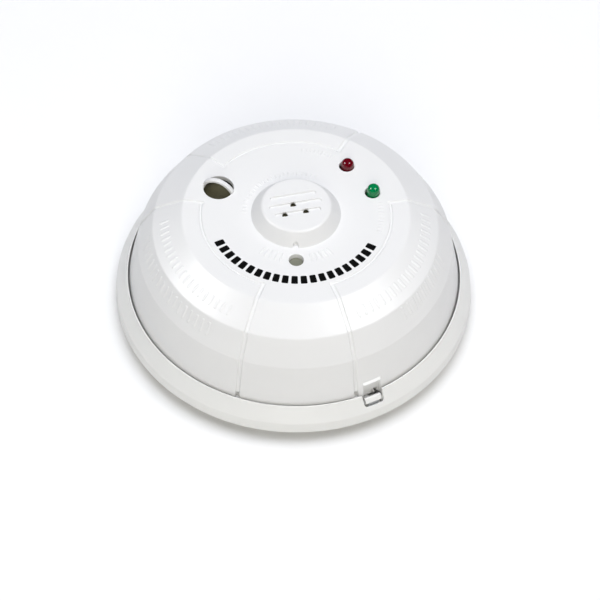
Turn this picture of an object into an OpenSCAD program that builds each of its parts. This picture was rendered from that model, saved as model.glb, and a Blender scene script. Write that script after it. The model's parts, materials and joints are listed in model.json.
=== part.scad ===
// Mains-powered carbon monoxide detector: a wall ring with a twist-on head.
// Millimetres. The back rests on z = 0 and the face looks along +Z.
// The test button is on the -Y side of the face. Angles run anticlockwise from +X.

/* [Overall size] */
// Diameter of the wall ring at its foot
ring_d = 157; // [155:0.5:160]
// Height of the wall ring
ring_h = 11.6; // [11.2:0.1:12]
// Height of the flat face above the wall
face_h = 49.9; // [49.4:0.1:51]
// Height of the raised centre above the flat face
boss_h = 5.9; // [5:0.1:7]

/* [Front cover] */
// Thickness of the cover's moulded wall
wall_t = 2.2; // [1.8:0.1:2.3]
// Width of the grooves that outline the panels
groove_w = 1.8; // [1.2:0.1:2.2]
// Depth of the grooves that outline the panels
groove_d = 0.6; // [0.3:0.1:0.9]
// Angle that each outlined panel spans
panel_angle = 78; // [72:1:79]

/* [Openings in the face] */
// Diameter of the sounder port
port_d = 12.9; // [12:0.1:13.4]
// Diameter of the test button hole
test_d = 6.2; // [5.8:0.1:6.6]
// Diameter of each lamp hole
lamp_hole_d = 6.5; // [6.2:0.1:7]

/* [Moving parts] */
// Angle that the head turns to come off the wall ring
twist_angle = 12; // [10:1:13]
// Travel of the test button
button_travel = 0.6; // [0.4:0.1:0.7]

/* [Hidden] */
$fn = 96;

cut = 1;        // how far a cutting shape runs past the face it cuts
ring_r = ring_d / 2;

// Wall ring and its back plate
plate_t = 2;
entry_r = 34;
ring_kink = [ring_r - 0.6, 5.2];
lip_outer_r = ring_r - 5.2;
lip_inner_r = ring_r - 5.7;
ring_inner = [ring_r - 3, 5.9];
slot_x = 43;
slot_len = 12;
slot_w = 4.6;

// Cover outline, from the hidden skirt up to the flat face
skirt_r = ring_r - 6.4;
skirt_z = 2.8;
knee_low = [ring_r - 10.7, face_h - 18.8];
knee_mid = [ring_r - 17.3, face_h - 7.5];
face_r = ring_r - 30;
boss_foot_r = 19.1;
boss_top_r = 14.7;
boss_z = face_h + boss_h;
boss_slope = atan2(boss_h, boss_foot_r - boss_top_r);
groove_r = 40.6;
panel_starts = [64, 174, -67.2];
drain_h = 1;

// Lines in the raised centre: [place across, half length between end centres]
line_tilt = 14.7;
line_w = 2.2;
line_d = 0.85;
lines = [[5.1, 8.85], [0.45, 10.2], [-4.2, 8.7]];
gas_hole_d = 2.5;
gas_holes = [[-1.2, 0.45], [3.3, -4.2], [-5.8, -4.2]];
boss_notch_w = 2.6;
boss_notch_h = 2.5;
boss_notch_x = 0.3;

// Sounder port and its guard hoop
port_place = [36, 158.5];
hoop_r = 7.7;
hoop_t = 1.4;
hoop_w = 2;
hoop_drop = 3.1;

// Test button
test_place = [25.3, -88.3];
button_r = test_d / 2 - 0.08;
button_recess = 2;
guide_wall = 1.2;
guide_low = 40;
flange_r = 4.2;
flange_t = 1.1;
button_shaft_r = 2;
button_low = 28;
switch_w = 8;
switch_h = 4;
plunger_r = 1.7;
plunger_gap = 0.05;

// Lamps
lamp_r = 2.7;
lamp_foot_r = 2.85;
lamp_tops = [face_h + 3.65, face_h + 4.25];
lamp_low = 44.7;
lamp_flange_r = 3.1;
lamp_places = [[35, 52.7], [35, 22.3]];
lamp_shift = 0.35;
lead_r = 0.25;
lead_pitch = 2.54;

// Lock tab in the ring, in its own radial frame
tab_angle = -62;
tab_w = 7.3;
tab_y = -0.05;
notch_w = 9.1;
notch_z = 7.3;
notch_back_z = 6;
notch_back_x = ring_r - 3.1;
pivot = [ring_r - 4.7, 3.9];
barrel_r = 1.3;
pin_r = 0.75;
tooth_w = 2.6;
tooth_y = -1.3;
tooth_z = [5.6, 7];
window_z = 7.6;
window_margin = 4;
ear_t = 1.5;
ear_h = 3.4;
ear_x = [pivot[0] - 1.3, pivot[0] + 1.6];
ear_gap = 0.3;

// Pocket in the cover above the lock tab
pocket_angle = -61.4;
pocket_w = 8;
pocket_top = 16.4;
pocket_low = window_z - 0.2;
pocket_x = skirt_r - 1.5;
pocket_back = 1.7;
pocket_lip = 0.9;
tool_hole = [0.6, 3, 10.4];

// Twist lock
hook_angles = [45, 135, 225, 315];
hook_span = [-5.5, 6.5];
foot_span = [-5, 5];
foot_r = [53.5, 55.7, 59.5];
hook_r = [56.5, 60, 62];

// Rear housing of the head
floor_z = 8.3;
floor_t = 2;
floor_top = floor_z + floor_t;
housing_r = 69.5;
post_place_r = 57;
post_angles = [0, 90, 180, 270];
post_r = 3.5;
screw_r = 1.5;
screw_gap = 0.05;

// Circuit board
board_z = 20;
board_t = 1.6;
board_top = board_z + board_t;
board_r = 52.8;
standoff_place_r = 45;
standoff_angles = [22.5, 112.5, 202.5, 292.5];
standoff_r = 3;
board_screw_r = 1.25;

// Power inlet on the back
inlet_y = 22;
inlet_size = [22, 12];
inlet_wall = 1.5;
inlet_low = 5;
inlet_floor = 15;
inlet_pin_r = 0.8;
inlet_pitch = 6;

// Gas sensor under the raised centre
shroud_r = [14.5, 16.5];
shroud_top = face_h - wall_t - 0.7;
sensor_r = 9.6;
can_top = 41;
cap_top = 43.5;
sensor_pin_places = [[5, 0], [-3, 4], [-3, -4]];

// Sounder under its port
horn_r = 14.5;
horn_wall = 1.6;
horn_top = 44.8;
piezo_r = 12.7;
piezo_z = 37.5;
contact_places = [[6, 0], [-10.5, 0]];

// Larger parts on the board
core_place = [28, -18];
core_size = [24, 11, 20];
window_size = [5, 12];
leg_w = 7;
coil_w = 19;
can_caps = [[-22, -24, 6.25, 25], [-35, -9, 5, 16], [-15, -36, 4, 12]];
film_place = [0, -44];
film_size = [18, 8.4, 15];
varistor_place = [28, -37];
varistor_r = 5;
fuse_place = [2, 46];
fuse_len = 20;
fuse_r = 2.6;
fuse_z = board_top + 4.4;
regulator_place = [-29, -36];
coil_place = [-27, 33];
chip_h = 3.4;
chip_lift = 0.5;
mcu_place = [-7, 30];
mcu_len = 20;
amp_place = [13, 37];
amp_len = 9.4;
chip_w = 6.4;

// Axial parts: [x, y, direction, half length, radius]
axial_bend = 1.5;
axial_leg_r = 0.3;
resistor_list = concat(
    [for (y = [-4:4:8]) [28, y, 0, 3.2, 1.15]],
    [for (x = [-13:3:-7]) [x, -25, 90, 3.2, 1.15]]
);
diode_list = [for (y = [-12:4:0]) [45, y, 0, 2.2, 1.3]];

// ---------- outlines ----------

function unit(v) = v / norm(v);
function at(place) = place[0] * [cos(place[1]), sin(place[1])];

// Points that round the corner b between its neighbours a and c
function corner(a, b, c, r, n = 6) =
    r <= 0 ? [b] :
    let (
        u = unit(a - b),
        v = unit(c - b),
        half = acos(u * v) / 2,
        centre = b + unit(u + v) * r / sin(half),
        start = b + u * r / tan(half) - centre,
        stop = b + v * r / tan(half) - centre,
        first = atan2(start[1], start[0]),
        turn = (atan2(stop[1], stop[0]) - first + 540) % 360 - 180
    )
    [for (i = [0:n]) centre + r * [cos(first + turn * i / n), sin(first + turn * i / n)]];

function flat(p) = [p[0], p[1]];

// An open outline of [r, z, rounding] points, with its corners rounded
function rounded(points) = [
    for (i = [0:len(points) - 1])
        for (p = (i == 0 || i == len(points) - 1)
            ? [flat(points[i])]
            : corner(flat(points[i - 1]), flat(points[i]), flat(points[i + 1]), points[i][2]))
            p
];

function right_of(a, b) = let (d = unit(b - a)) [d[1], -d[0]];

// The same outline moved by t towards its left side, which is the inside of the cover
function inset(points, t) = [
    for (i = [0:len(points) - 1])
        let (
            p = flat(points[i]),
            n1 = i > 0 ? right_of(flat(points[i - 1]), p) : right_of(p, flat(points[i + 1])),
            n2 = i < len(points) - 1 ? right_of(p, flat(points[i + 1])) : n1,
            q = p - t * (n1 + n2) / (1 + n1 * n2)
        )
        [q[0], q[1], points[i][2] > 0 ? max(points[i][2] - t, 0) : 0]
];

function reversed(points) = [for (i = [len(points) - 1:-1:0]) points[i]];

side_outline = [
    [skirt_r, skirt_z, 0],
    [skirt_r, ring_h - 0.6, 6],
    [knee_low[0], knee_low[1], 3],
    [knee_mid[0], knee_mid[1], 2.5],
    [face_r, face_h, 2.5]
];
cover_outline = concat(side_outline, [
    [boss_foot_r, face_h, 0.4],
    [boss_top_r, boss_z, 1.8],
    [0, boss_z, 0]
]);

// Radius of the ring's sloping rim at a height
function rim_x(z) =
    ring_kink[0] + (z - ring_kink[1]) * (lip_outer_r - ring_kink[0]) / (ring_h - ring_kink[1]);

// Radius of the cover's lower wall at height z
function wall_r(z) = skirt_r + (z - ring_h) * (knee_low[0] - skirt_r) / (knee_low[1] - ring_h);

// Everything inside the cover's outer surface moved inward by t
module inside_of_cover(t) {
    line = rounded(inset(cover_outline, t));
    rotate_extrude()
        polygon(concat([[0, skirt_z]], line));
}

// The skin of the cover's sides between two depths
module side_skin(outer, inner) {
    line = concat(side_outline, [[groove_r - groove_w / 2, face_h, 0]]);
    rotate_extrude()
        polygon(concat(rounded(inset(line, outer)), reversed(rounded(inset(line, inner)))));
}

// A prism whose section lies in the radial plane, [x, z], w wide along the tangent
module radial_prism(points, w) {
    translate([0, w / 2, 0])
        rotate([90, 0, 0])
            linear_extrude(w)
                polygon(points);
}

// A part of a ring of the section given, from angle a to angle b
module sector(a, b, points) {
    rotate(a)
        rotate_extrude(angle = b - a)
            polygon(points);
}

module tube(r_out, r_in, h) {
    difference() {
        cylinder(r = r_out, h = h);
        translate([0, 0, -cut])
            cylinder(r = r_in, h = h + 2 * cut);
    }
}

module slot(length, w, h) {
    run = length - w;
    translate([-run / 2, -w / 2, 0])
        cube([run, w, h]);
    for (s = [-1, 1])
        translate([s * run / 2, 0, 0])
            cylinder(d = w, h = h);
}

// ---------- wall ring ----------

module ring_body() {
    rotate_extrude()
        polygon(rounded([
            [entry_r, 0, 0],
            [ring_r, 0, 0.5],
            [ring_kink[0], ring_kink[1], 1.2],
            [lip_outer_r, ring_h, 0.25],
            [lip_inner_r, ring_h, 0.15],
            [lip_inner_r, ring_h - 1.8, 0],
            [ring_inner[0], ring_inner[1], 0],
            [ring_inner[0] + 0.4, plate_t, 0],
            [entry_r, plate_t, 0]
        ]));
}

// One raised hook that a foot of the head slides under, with its end stop
module base_hook() {
    sector(hook_span[0], hook_span[1], [
        [hook_r[1], plate_t - 0.5], [hook_r[2], plate_t - 0.5], [hook_r[2], 7],
        [hook_r[0], 7], [hook_r[0], 5.2], [hook_r[1], 5.2]
    ]);
    sector(hook_span[0] - 1.5, hook_span[0], [
        [hook_r[0], plate_t - 0.5], [hook_r[2], plate_t - 0.5], [hook_r[2], 7], [hook_r[0], 7]
    ]);
}

// Two ears that hold the lock tab's pin
module tab_ears() {
    for (s = [-1, 1]) {
        ear_y = tab_y + s * (tab_w / 2 + ear_gap + ear_t / 2);
        translate([0, ear_y, 0])
            difference() {
                translate([ear_x[0], -ear_t / 2, plate_t - 0.5])
                    cube([ear_x[1] - ear_x[0], ear_t, ear_h + 0.5]);
                translate([pivot[0], -ear_t, pivot[1]])
                    rotate([-90, 0, 0])
                        cylinder(r = pin_r + 0.01, h = 2 * ear_t);
            }
    }
}

module mounting_base() {
    color("ivory")
        difference() {
            union() {
                ring_body();
                for (a = hook_angles)
                    rotate(a)
                        base_hook();
                rotate(tab_angle)
                    tab_ears();
            }
            for (a = [0:90:270])
                rotate(a)
                    translate([slot_x, 0, -cut])
                        slot(slot_len, slot_w, plate_t + 2 * cut);
            // notch in the rim that the lock tab's head fills
            rotate(tab_angle)
                translate([skirt_r, 0, 0])
                    rotate([90, 0, 90])
                        linear_extrude(10)
                            polygon(rounded([
                                [-notch_w / 2, ring_h + cut, 0],
                                [-notch_w / 2, notch_z, 1],
                                [notch_w / 2, notch_z, 1],
                                [notch_w / 2, ring_h + cut, 0]
                            ]));
            // floor of the notch falls away behind its front edge
            rotate(tab_angle)
                radial_prism([
                    [rim_x(notch_z), notch_z + cut], [skirt_r, notch_z + cut],
                    [skirt_r, notch_back_z], [notch_back_x, notch_back_z]
                ], notch_w - 1);
        }
}

module lock_tab() {
    stem = [skirt_r + 0.6, skirt_r + 2];
    head_low = notch_z + 0.4;
    head_top = 10.2;
    head_ledge = 0.5;
    head_x = [rim_x(head_low), rim_x(head_top)];
    color("white")
        rotate(tab_angle)
            translate([0, tab_y, 0])
                difference() {
                    union() {
                        radial_prism(rounded([
                            [stem[0], pivot[1], 0],
                            [stem[1], pivot[1], 0],
                            [stem[1], head_low, 0],
                            [head_x[0], head_low, 0.6],
                            [head_x[1], head_top, 0.3],
                            [head_x[1] - head_ledge, head_top, 0.2],
                            [stem[0], head_top - 1.2, 0],
                            [stem[0], pivot[1], 0]
                        ]), tab_w);
                        translate([pivot[0], tab_w / 2, pivot[1]])
                            rotate([90, 0, 0])
                                cylinder(r = barrel_r, h = tab_w);
                        translate([0, tooth_y, 0])
                            radial_prism([
                                [stem[0] + 0.5, tooth_z[0]], [stem[0] + 0.5, tooth_z[1]],
                                [skirt_r - wall_t, tooth_z[1] - 0.6], [skirt_r - wall_t, tooth_z[0]]
                            ], tooth_w);
                    }
                    translate([pivot[0], tab_w, pivot[1]])
                        rotate([90, 0, 0])
                            cylinder(r = pin_r + 0.05, h = 2 * tab_w);
                }
}

module lock_pin() {
    length = tab_w + 2 * (ear_gap + ear_t);
    color("silver")
        rotate(tab_angle)
            translate([pivot[0], tab_y + length / 2, pivot[1]])
                rotate([90, 0, 0])
                    cylinder(r = pin_r, h = length);
}

// Leaf spring that pushes the lock tab inward
module lock_spring() {
    t = 0.25;
    bend = [pivot[0] + 1.5, 5.6];
    tip = [skirt_r + 2.4, 6.9];
    color("silver")
        rotate(tab_angle)
            translate([0, tab_y, 0])
                radial_prism([
                    [bend[0] + 0.3, plate_t], [bend[0] + 0.3 - t, plate_t],
                    [bend[0] - t, bend[1]], [tip[0], tip[1] - t],
                    [tip[0], tip[1]], bend
                ], 5);
}

module draught_seal() {
    color("dimgray")
        translate([0, 0, plate_t])
            tube(36.6, entry_r + 0.3, floor_z - plate_t - 0.4);
}

// ---------- front cover ----------

module cover_shell() {
    rotate_extrude()
        polygon(concat(rounded(cover_outline), reversed(rounded(inset(cover_outline, wall_t)))));
}

// Hoop that bridges the sounder port, along a radius of the face
module guard_hoop() {
    rotate(port_place[1])
        intersection() {
            translate([port_place[0], hoop_w / 2, face_h - hoop_drop])
                rotate([90, 0, 0])
                    tube(hoop_r, hoop_r - hoop_t, hoop_w);
            translate([port_place[0] - 2 * hoop_r, -hoop_w, face_h - wall_t + 0.1])
                cube([4 * hoop_r, 2 * hoop_w, 2 * hoop_r]);
        }
}

module cover_posts() {
    intersection() {
        for (a = post_angles)
            rotate(a)
                translate([post_place_r, 0, floor_top])
                    cylinder(r = post_r, h = face_h);
        inside_of_cover(wall_t / 2);
    }
}

// Grooves that outline the three panels, and the small drain at the foot of each
module panel_grooves() {
    intersection() {
        for (start = panel_starts)
            for (a = [start, start + panel_angle])
                rotate(a)
                    translate([groove_r - groove_w / 2, -groove_w / 2, ring_h])
                        cube([ring_r, groove_w, face_h]);
        side_skin(-cut, groove_d);
    }
    for (start = panel_starts) {
        sector(start, start + panel_angle, [
            [groove_r - groove_w / 3, face_h - groove_d], [groove_r + groove_w / 3, face_h - groove_d],
            [groove_r + groove_w / 3, face_h + cut], [groove_r - groove_w / 3, face_h + cut]
        ]);
        for (a = [start, start + panel_angle])
            rotate(a)
                translate([skirt_r - 1.6, -groove_w / 2, ring_h - 2])
                    cube([6, groove_w, drain_h + 2]);
    }
}

// Lines sunk in the raised centre, and the gas holes in them
module boss_cuts() {
    rotate(line_tilt) {
        for (l = lines)
            translate([-0.2, l[0], boss_z - line_d])
                slot(2 * l[1] + line_w, line_w, line_d + cut);
        for (p = gas_holes)
            translate([p[0], p[1], boss_z - wall_t - cut])
                cylinder(d = gas_hole_d, h = wall_t + 2 * cut);
    }
    arch_r = boss_notch_w / 2;
    translate([boss_notch_x, 0, face_h]) {
        translate([-arch_r, -boss_foot_r - 2, 0])
            cube([boss_notch_w, 4.2, boss_notch_h - arch_r]);
        translate([0, -boss_foot_r - 2, boss_notch_h - arch_r])
            rotate([-90, 0, 0])
                cylinder(r = arch_r, h = 4.2);
    }
}

// Thicker wall behind the pocket
module pocket_backing() {
    rotate(pocket_angle)
        translate([pocket_x - pocket_back, -pocket_w / 2 - 1.2, window_z])
            cube([pocket_back + 0.5, pocket_w + 2.4, pocket_top + 1.2 - window_z]);
}

// Pocket for a release tool above the lock tab, and the tool hole at its foot
module pocket_cut() {
    rotate(pocket_angle) {
        translate([pocket_x, -pocket_w / 2, pocket_low])
            cube([10, pocket_w, pocket_top - pocket_low]);
        translate([pocket_x - 2 * pocket_back, tool_hole[0], pocket_low])
            cube([3 * pocket_back, tool_hole[1] - tool_hole[0], tool_hole[2] - pocket_low]);
    }
}

module pocket_lip() {
    rotate(pocket_angle)
        radial_prism([
            [wall_r(pocket_top) - 1, pocket_top], [wall_r(pocket_top) + pocket_lip, pocket_top],
            [wall_r(pocket_top) + pocket_lip, pocket_top + 0.5], [wall_r(pocket_top) - 1, pocket_top + 2]
        ], pocket_w + 0.6);
}

// Slanted rib across the tool hole
module pocket_rib() {
    rotate(pocket_angle)
        translate([pocket_x - 0.5, tool_hole[0] + 0.6, window_z + 0.1])
            rotate([17, 0, 0])
                cube([0.9, 0.8, tool_hole[2] - window_z + 0.6]);
}

module front_cover() {
    color("whitesmoke")
        difference() {
            union() {
                difference() {
                    union() {
                        cover_shell();
                        cover_posts();
                        pocket_backing();
                        pocket_lip();
                        translate(at(test_place))
                            translate([0, 0, guide_low])
                                cylinder(r = test_d / 2 + guide_wall, h = face_h - guide_low - 0.5);
                    }
                    translate(concat(at(port_place), [face_h - 2 * wall_t]))
                        cylinder(d = port_d, h = 3 * wall_t);
                    panel_grooves();
                    pocket_cut();
                }
                guard_hoop();
                pocket_rib();
            }
            boss_cuts();
            translate(concat(at(test_place), [guide_low - cut]))
                cylinder(d = test_d, h = face_h - guide_low + 2 * cut);
            for (p = lamp_places)
                translate(concat(at(p), [face_h - 2 * wall_t]))
                    cylinder(d = lamp_hole_d, h = 3 * wall_t);
            for (a = post_angles)
                rotate(a)
                    translate([post_place_r, 0, floor_top - cut])
                        cylinder(r = screw_r + screw_gap, h = 16);
            // window in the skirt that the lock tab's tooth runs in as the head turns
            sector(tab_angle - twist_angle - window_margin, tab_angle + window_margin, [
                [skirt_r - wall_t - cut, skirt_z - cut], [skirt_r + cut, skirt_z - cut],
                [skirt_r + cut, window_z], [skirt_r - wall_t - cut, window_z]
            ]);
        }
}

// ---------- rear housing ----------

module twist_foot() {
    sector(foot_span[0], foot_span[1], [
        [foot_r[0], floor_z + 0.5], [foot_r[1], floor_z + 0.5], [foot_r[1], 4.8],
        [foot_r[2], 4.8], [foot_r[2], 3.2], [foot_r[0], 3.2]
    ]);
}

module rear_housing() {
    color("gainsboro")
        difference() {
            union() {
                translate([0, 0, floor_z])
                    cylinder(r = housing_r, h = floor_t);
                translate([0, 0, floor_top - 0.5])
                    tube(housing_r, housing_r - 2, 2.2);
                for (a = hook_angles)
                    rotate(a)
                        twist_foot();
                for (a = standoff_angles)
                    rotate(a)
                        translate([standoff_place_r, 0, floor_top - 0.5])
                            cylinder(r = standoff_r, h = board_z - floor_top + 0.5);
            }
            for (a = post_angles)
                rotate(a)
                    translate([post_place_r, 0, floor_z - cut])
                        cylinder(r = screw_r + 0.3, h = floor_t + 2 * cut);
            for (a = standoff_angles)
                rotate(a)
                    translate([standoff_place_r, 0, floor_top + 1])
                        cylinder(r = board_screw_r + screw_gap, h = board_z - floor_top);
            translate([-inlet_size[0] / 2 - 0.2, inlet_y - inlet_size[1] / 2 - 0.2, floor_z - cut])
                cube([inlet_size[0] + 0.4, inlet_size[1] + 0.4, floor_t + 2 * cut]);
            // flat for the thicker wall behind the cover's pocket
            rotate(pocket_angle)
                translate([pocket_x - pocket_back - 0.2, -pocket_w / 2 - 2, floor_z - cut])
                    cube([10, pocket_w + 4, 2 * floor_t + cut]);
        }
}

// A cross-head screw with its head at z = 0 and its shank along -Z
module screw(r, length, head_r, head_h) {
    difference() {
        union() {
            cylinder(r = head_r, h = head_h);
            translate([0, 0, -length])
                cylinder(r = r, h = length + head_h / 2);
        }
        for (a = [0, 90])
            rotate(a)
                translate([-head_r * 0.6, -head_r * 0.15, head_h * 0.45])
                    cube([head_r * 1.2, head_r * 0.3, head_h]);
    }
}

module cover_screws() {
    color("silver")
        for (a = post_angles)
            rotate(a)
                translate([post_place_r, 0, floor_z])
                    rotate([180, 0, 0])
                        screw(screw_r, 15, 3, 2);
}

module board_screws() {
    color("silver")
        for (a = standoff_angles)
            rotate(a)
                translate([standoff_place_r, 0, board_top])
                    screw(board_screw_r, 8, 2.6, 1.8);
}

module rating_label() {
    color("silver")
        translate([-16, -27, floor_z - 0.15])
            cube([32, 18, 0.15]);
}

module power_inlet() {
    color("dimgray")
        difference() {
            translate([-inlet_size[0] / 2, inlet_y - inlet_size[1] / 2, inlet_low])
                cube([inlet_size[0], inlet_size[1], board_z - inlet_low]);
            translate([
                -inlet_size[0] / 2 + inlet_wall, inlet_y - inlet_size[1] / 2 + inlet_wall, inlet_low - cut
            ])
                cube([
                    inlet_size[0] - 2 * inlet_wall, inlet_size[1] - 2 * inlet_wall,
                    inlet_floor - inlet_low + cut
                ]);
            for (i = [-1:1])
                translate([i * inlet_pitch, inlet_y, inlet_low])
                    cylinder(r = inlet_pin_r + 0.02, h = board_z);
        }
}

module inlet_pins() {
    color("gold")
        for (i = [-1:1])
            translate([i * inlet_pitch, inlet_y, inlet_low + 2])
                cylinder(r = inlet_pin_r, h = board_top + 1.2 - inlet_low - 2);
}

module circuit_board() {
    lead_places = [
        for (p = lamp_places)
            for (s = [-0.5, 0.5])
                at(p) + [lamp_shift + s * lead_pitch, 0]
    ];
    holes = concat(
        [for (a = standoff_angles) [at([standoff_place_r, a]), board_screw_r + 0.15]],
        [for (i = [-1:1]) [[i * inlet_pitch, inlet_y], inlet_pin_r + 0.1]],
        [for (p = sensor_pin_places) [p, 0.6]],
        [for (p = lead_places) [p, lead_r + 0.15]]
    );
    color("seagreen")
        difference() {
            translate([0, 0, board_z])
                cylinder(r = board_r, h = board_t);
            for (h = holes)
                translate(concat(h[0], [board_z - cut]))
                    cylinder(r = h[1], h = board_t + 2 * cut);
        }
}

// ---------- gas sensor ----------

module sensor_shroud() {
    color("lightgray")
        translate([0, 0, board_top])
            tube(shroud_r[1], shroud_r[0], shroud_top - board_top);
}

module sensor_gasket() {
    color("dimgray")
        translate([0, 0, shroud_top])
            tube(shroud_r[1], shroud_r[0], face_h - wall_t - shroud_top);
}

module sensor_screen() {
    color("black")
        translate([0, 0, boss_z - wall_t - 0.35])
            cylinder(r = 11.5, h = 0.3);
}

module sensor_base() {
    color("black")
        translate([0, 0, board_top])
            cylinder(r = sensor_r + 0.4, h = 3.4);
}

module sensor_can() {
    color("silver")
        rotate_extrude()
            polygon(rounded([
                [0, board_top + 3.4, 0],
                [sensor_r, board_top + 3.4, 0],
                [sensor_r, can_top, 1.2],
                [0, can_top, 0]
            ]));
}

module sensor_cap() {
    lap = 4;
    color("white")
        rotate_extrude()
            polygon(rounded([
                [1.2, can_top, 0],
                [sensor_r + 0.05, can_top, 0],
                [sensor_r + 0.05, can_top - lap, 0],
                [sensor_r + 1, can_top - lap, 0],
                [sensor_r + 1, cap_top, 0.8],
                [1.2, cap_top, 0]
            ]));
}

module sensor_pins() {
    color("gold")
        for (p = sensor_pin_places)
            translate(concat(p, [board_z - 1.4]))
                cylinder(r = 0.5, h = board_t + 1.4);
}

// ---------- sounder ----------

module at_port(z) {
    translate(concat(at(port_place), [z]))
        children();
}

module sounder_housing() {
    ledge_z = piezo_z - 1.2;
    color("black")
        at_port(0)
            rotate_extrude()
                polygon([
                    [horn_r, board_top], [horn_r, horn_top], [6.2, horn_top], [6.2, horn_top - horn_wall],
                    [horn_r - horn_wall, horn_top - horn_wall], [horn_r - horn_wall, piezo_z],
                    [11.5, piezo_z], [11.5, ledge_z], [horn_r - horn_wall, ledge_z],
                    [horn_r - horn_wall, board_top]
                ]);
}

module sounder_screen() {
    color("darkolivegreen")
        at_port(horn_top)
            cylinder(r = 7.5, h = 0.3);
}

module piezo_disc() {
    color("gold")
        at_port(piezo_z)
            cylinder(r = piezo_r, h = 0.3);
}

module piezo_ceramic() {
    color("white")
        at_port(piezo_z + 0.3)
            cylinder(r = 9, h = 0.25);
}

module sounder_contacts() {
    color("gold")
        at_port(board_top)
            for (p = contact_places)
                translate(concat(p, [0])) {
                    cylinder(r = 0.5, h = piezo_z - board_top);
                    cylinder(r = 1.2, h = 1.5);
                }
}

// ---------- lamps ----------

module lamp(i) {
    translate(concat(at(lamp_places[i]) + [lamp_shift, 0], [0]))
        rotate_extrude()
            polygon(rounded([
                [0, lamp_low, 0],
                [lamp_flange_r, lamp_low, 0],
                [lamp_flange_r, lamp_low + 1, 0],
                [lamp_foot_r, lamp_low + 1, 0],
                [lamp_r, lamp_tops[i], lamp_r - 0.2],
                [0, lamp_tops[i], 0]
            ]));
}

module red_lamp() {
    color("darkred")
        lamp(0);
}

module green_lamp() {
    color("darkgreen")
        lamp(1);
}

module lamp_spacers() {
    color("white")
        for (p = lamp_places)
            translate(concat(at(p) + [lamp_shift, 0], [board_top]))
                difference() {
                    cylinder(r = lamp_flange_r, h = lamp_low - board_top);
                    for (s = [-0.5, 0.5])
                        translate([s * lead_pitch, 0, -cut])
                            cylinder(r = lead_r + 0.2, h = lamp_low);
                }
}

module lamp_leads() {
    color("silver")
        for (p = lamp_places)
            for (s = [-0.5, 0.5])
                translate(concat(at(p) + [lamp_shift + s * lead_pitch, 0], [board_z - 1.2]))
                    cylinder(r = lead_r, h = lamp_low - board_z + 1.2);
}

// ---------- test button ----------

module at_test(z) {
    translate(concat(at(test_place), [z]))
        children();
}

module test_button() {
    flange_top = guide_low - 0.3;
    color("tan")
        at_test(0)
            rotate_extrude()
                polygon(rounded([
                    [0, button_low, 0],
                    [button_shaft_r, button_low, 0],
                    [button_shaft_r, flange_top - flange_t, 0],
                    [flange_r, flange_top - flange_t, 0],
                    [flange_r, flange_top, 0],
                    [button_r, flange_top, 0],
                    [button_r, face_h - button_recess, 0.5],
                    [0, face_h - button_recess, 0]
                ]));
}

module switch_body() {
    color("black")
        at_test(board_top)
            difference() {
                translate([-switch_w / 2, -switch_w / 2, 0])
                    cube([switch_w, switch_w, switch_h]);
                translate([0, 0, 0.6])
                    cylinder(r = 2.6, h = switch_h - 1.4);
                translate([0, 0, 1])
                    cylinder(r = plunger_r + 0.08, h = switch_h);
            }
}

// Steel plate over the switch, with four legs down to the board
module switch_frame() {
    t = 0.3;
    color("silver")
        at_test(board_top) {
            difference() {
                translate([-switch_w / 2 - t, -switch_w / 2, switch_h])
                    cube([switch_w + 2 * t, switch_w, t]);
                cylinder(r = 2.2, h = 2 * switch_h);
            }
            for (sx = [-1, 1])
                for (sy = [-1, 1])
                    translate([sx * (switch_w + t) / 2 - t / 2, sy * 2.5 - 0.5, 0])
                        cube([t, 1, switch_h + t]);
        }
}

module switch_plunger() {
    flange_low = board_top + 0.7 + button_travel;
    color("tan")
        at_test(0)
            rotate_extrude()
                polygon([
                    [0, flange_low], [2.4, flange_low], [2.4, flange_low + 0.8],
                    [plunger_r, flange_low + 0.8], [plunger_r, button_low - plunger_gap],
                    [0, button_low - plunger_gap]
                ]);
}

// ---------- power supply and electronics ----------

module at_core() {
    translate(concat(core_place, [board_top + 0.3]))
        children();
}

module transformer_core() {
    window_z = (core_size[2] - window_size[1]) / 2;
    color("slategray")
        at_core()
            difference() {
                translate([-core_size[0] / 2, -core_size[1] / 2, 0])
                    cube(core_size);
                for (s = [-1, 1])
                    translate([
                        s * (leg_w + window_size[0]) / 2 - window_size[0] / 2, -core_size[1], window_z
                    ])
                        cube([window_size[0], 2 * core_size[1], window_size[1]]);
            }
}

module transformer_winding() {
    gap = 0.05;
    half = leg_w / 2 + window_size[0] - gap;
    low = (core_size[2] - window_size[1]) / 2 + gap;
    color("goldenrod")
        at_core()
            difference() {
                translate([-half, -coil_w / 2, low])
                    cube([2 * half, coil_w, window_size[1] - 2 * gap]);
                translate([-leg_w / 2 - gap, -core_size[1] / 2 - gap, 0])
                    cube([leg_w + 2 * gap, core_size[1] + 2 * gap, core_size[2]]);
            }
}

module electrolytic_capacitors() {
    color("midnightblue")
        for (c = can_caps)
            translate([c[0], c[1], board_top])
                rotate_extrude()
                    polygon(rounded([
                        [0, 0, 0],
                        [c[2], 0, 0.4],
                        [c[2], 2, 0],
                        [c[2] - 0.5, 2.5, 0],
                        [c[2], 3, 0],
                        [c[2], c[3], 0.6],
                        [0, c[3], 0]
                    ]));
}

module film_capacitor() {
    color("gold")
        translate([film_place[0] - film_size[0] / 2, film_place[1] - film_size[1] / 2, board_top])
            cube(film_size);
}

module varistor() {
    color("royalblue")
        translate(concat(varistor_place, [board_top + varistor_r + 2]))
            rotate([90, 0, 0])
                translate([0, 0, -2])
                    cylinder(r = varistor_r, h = 4);
}

module fuse_tube() {
    color("lightcyan")
        translate(concat(fuse_place, [fuse_z]))
            rotate([0, 90, 0])
                translate([0, 0, -fuse_len / 2 + 4])
                    cylinder(r = fuse_r - 0.15, h = fuse_len - 8);
}

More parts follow.
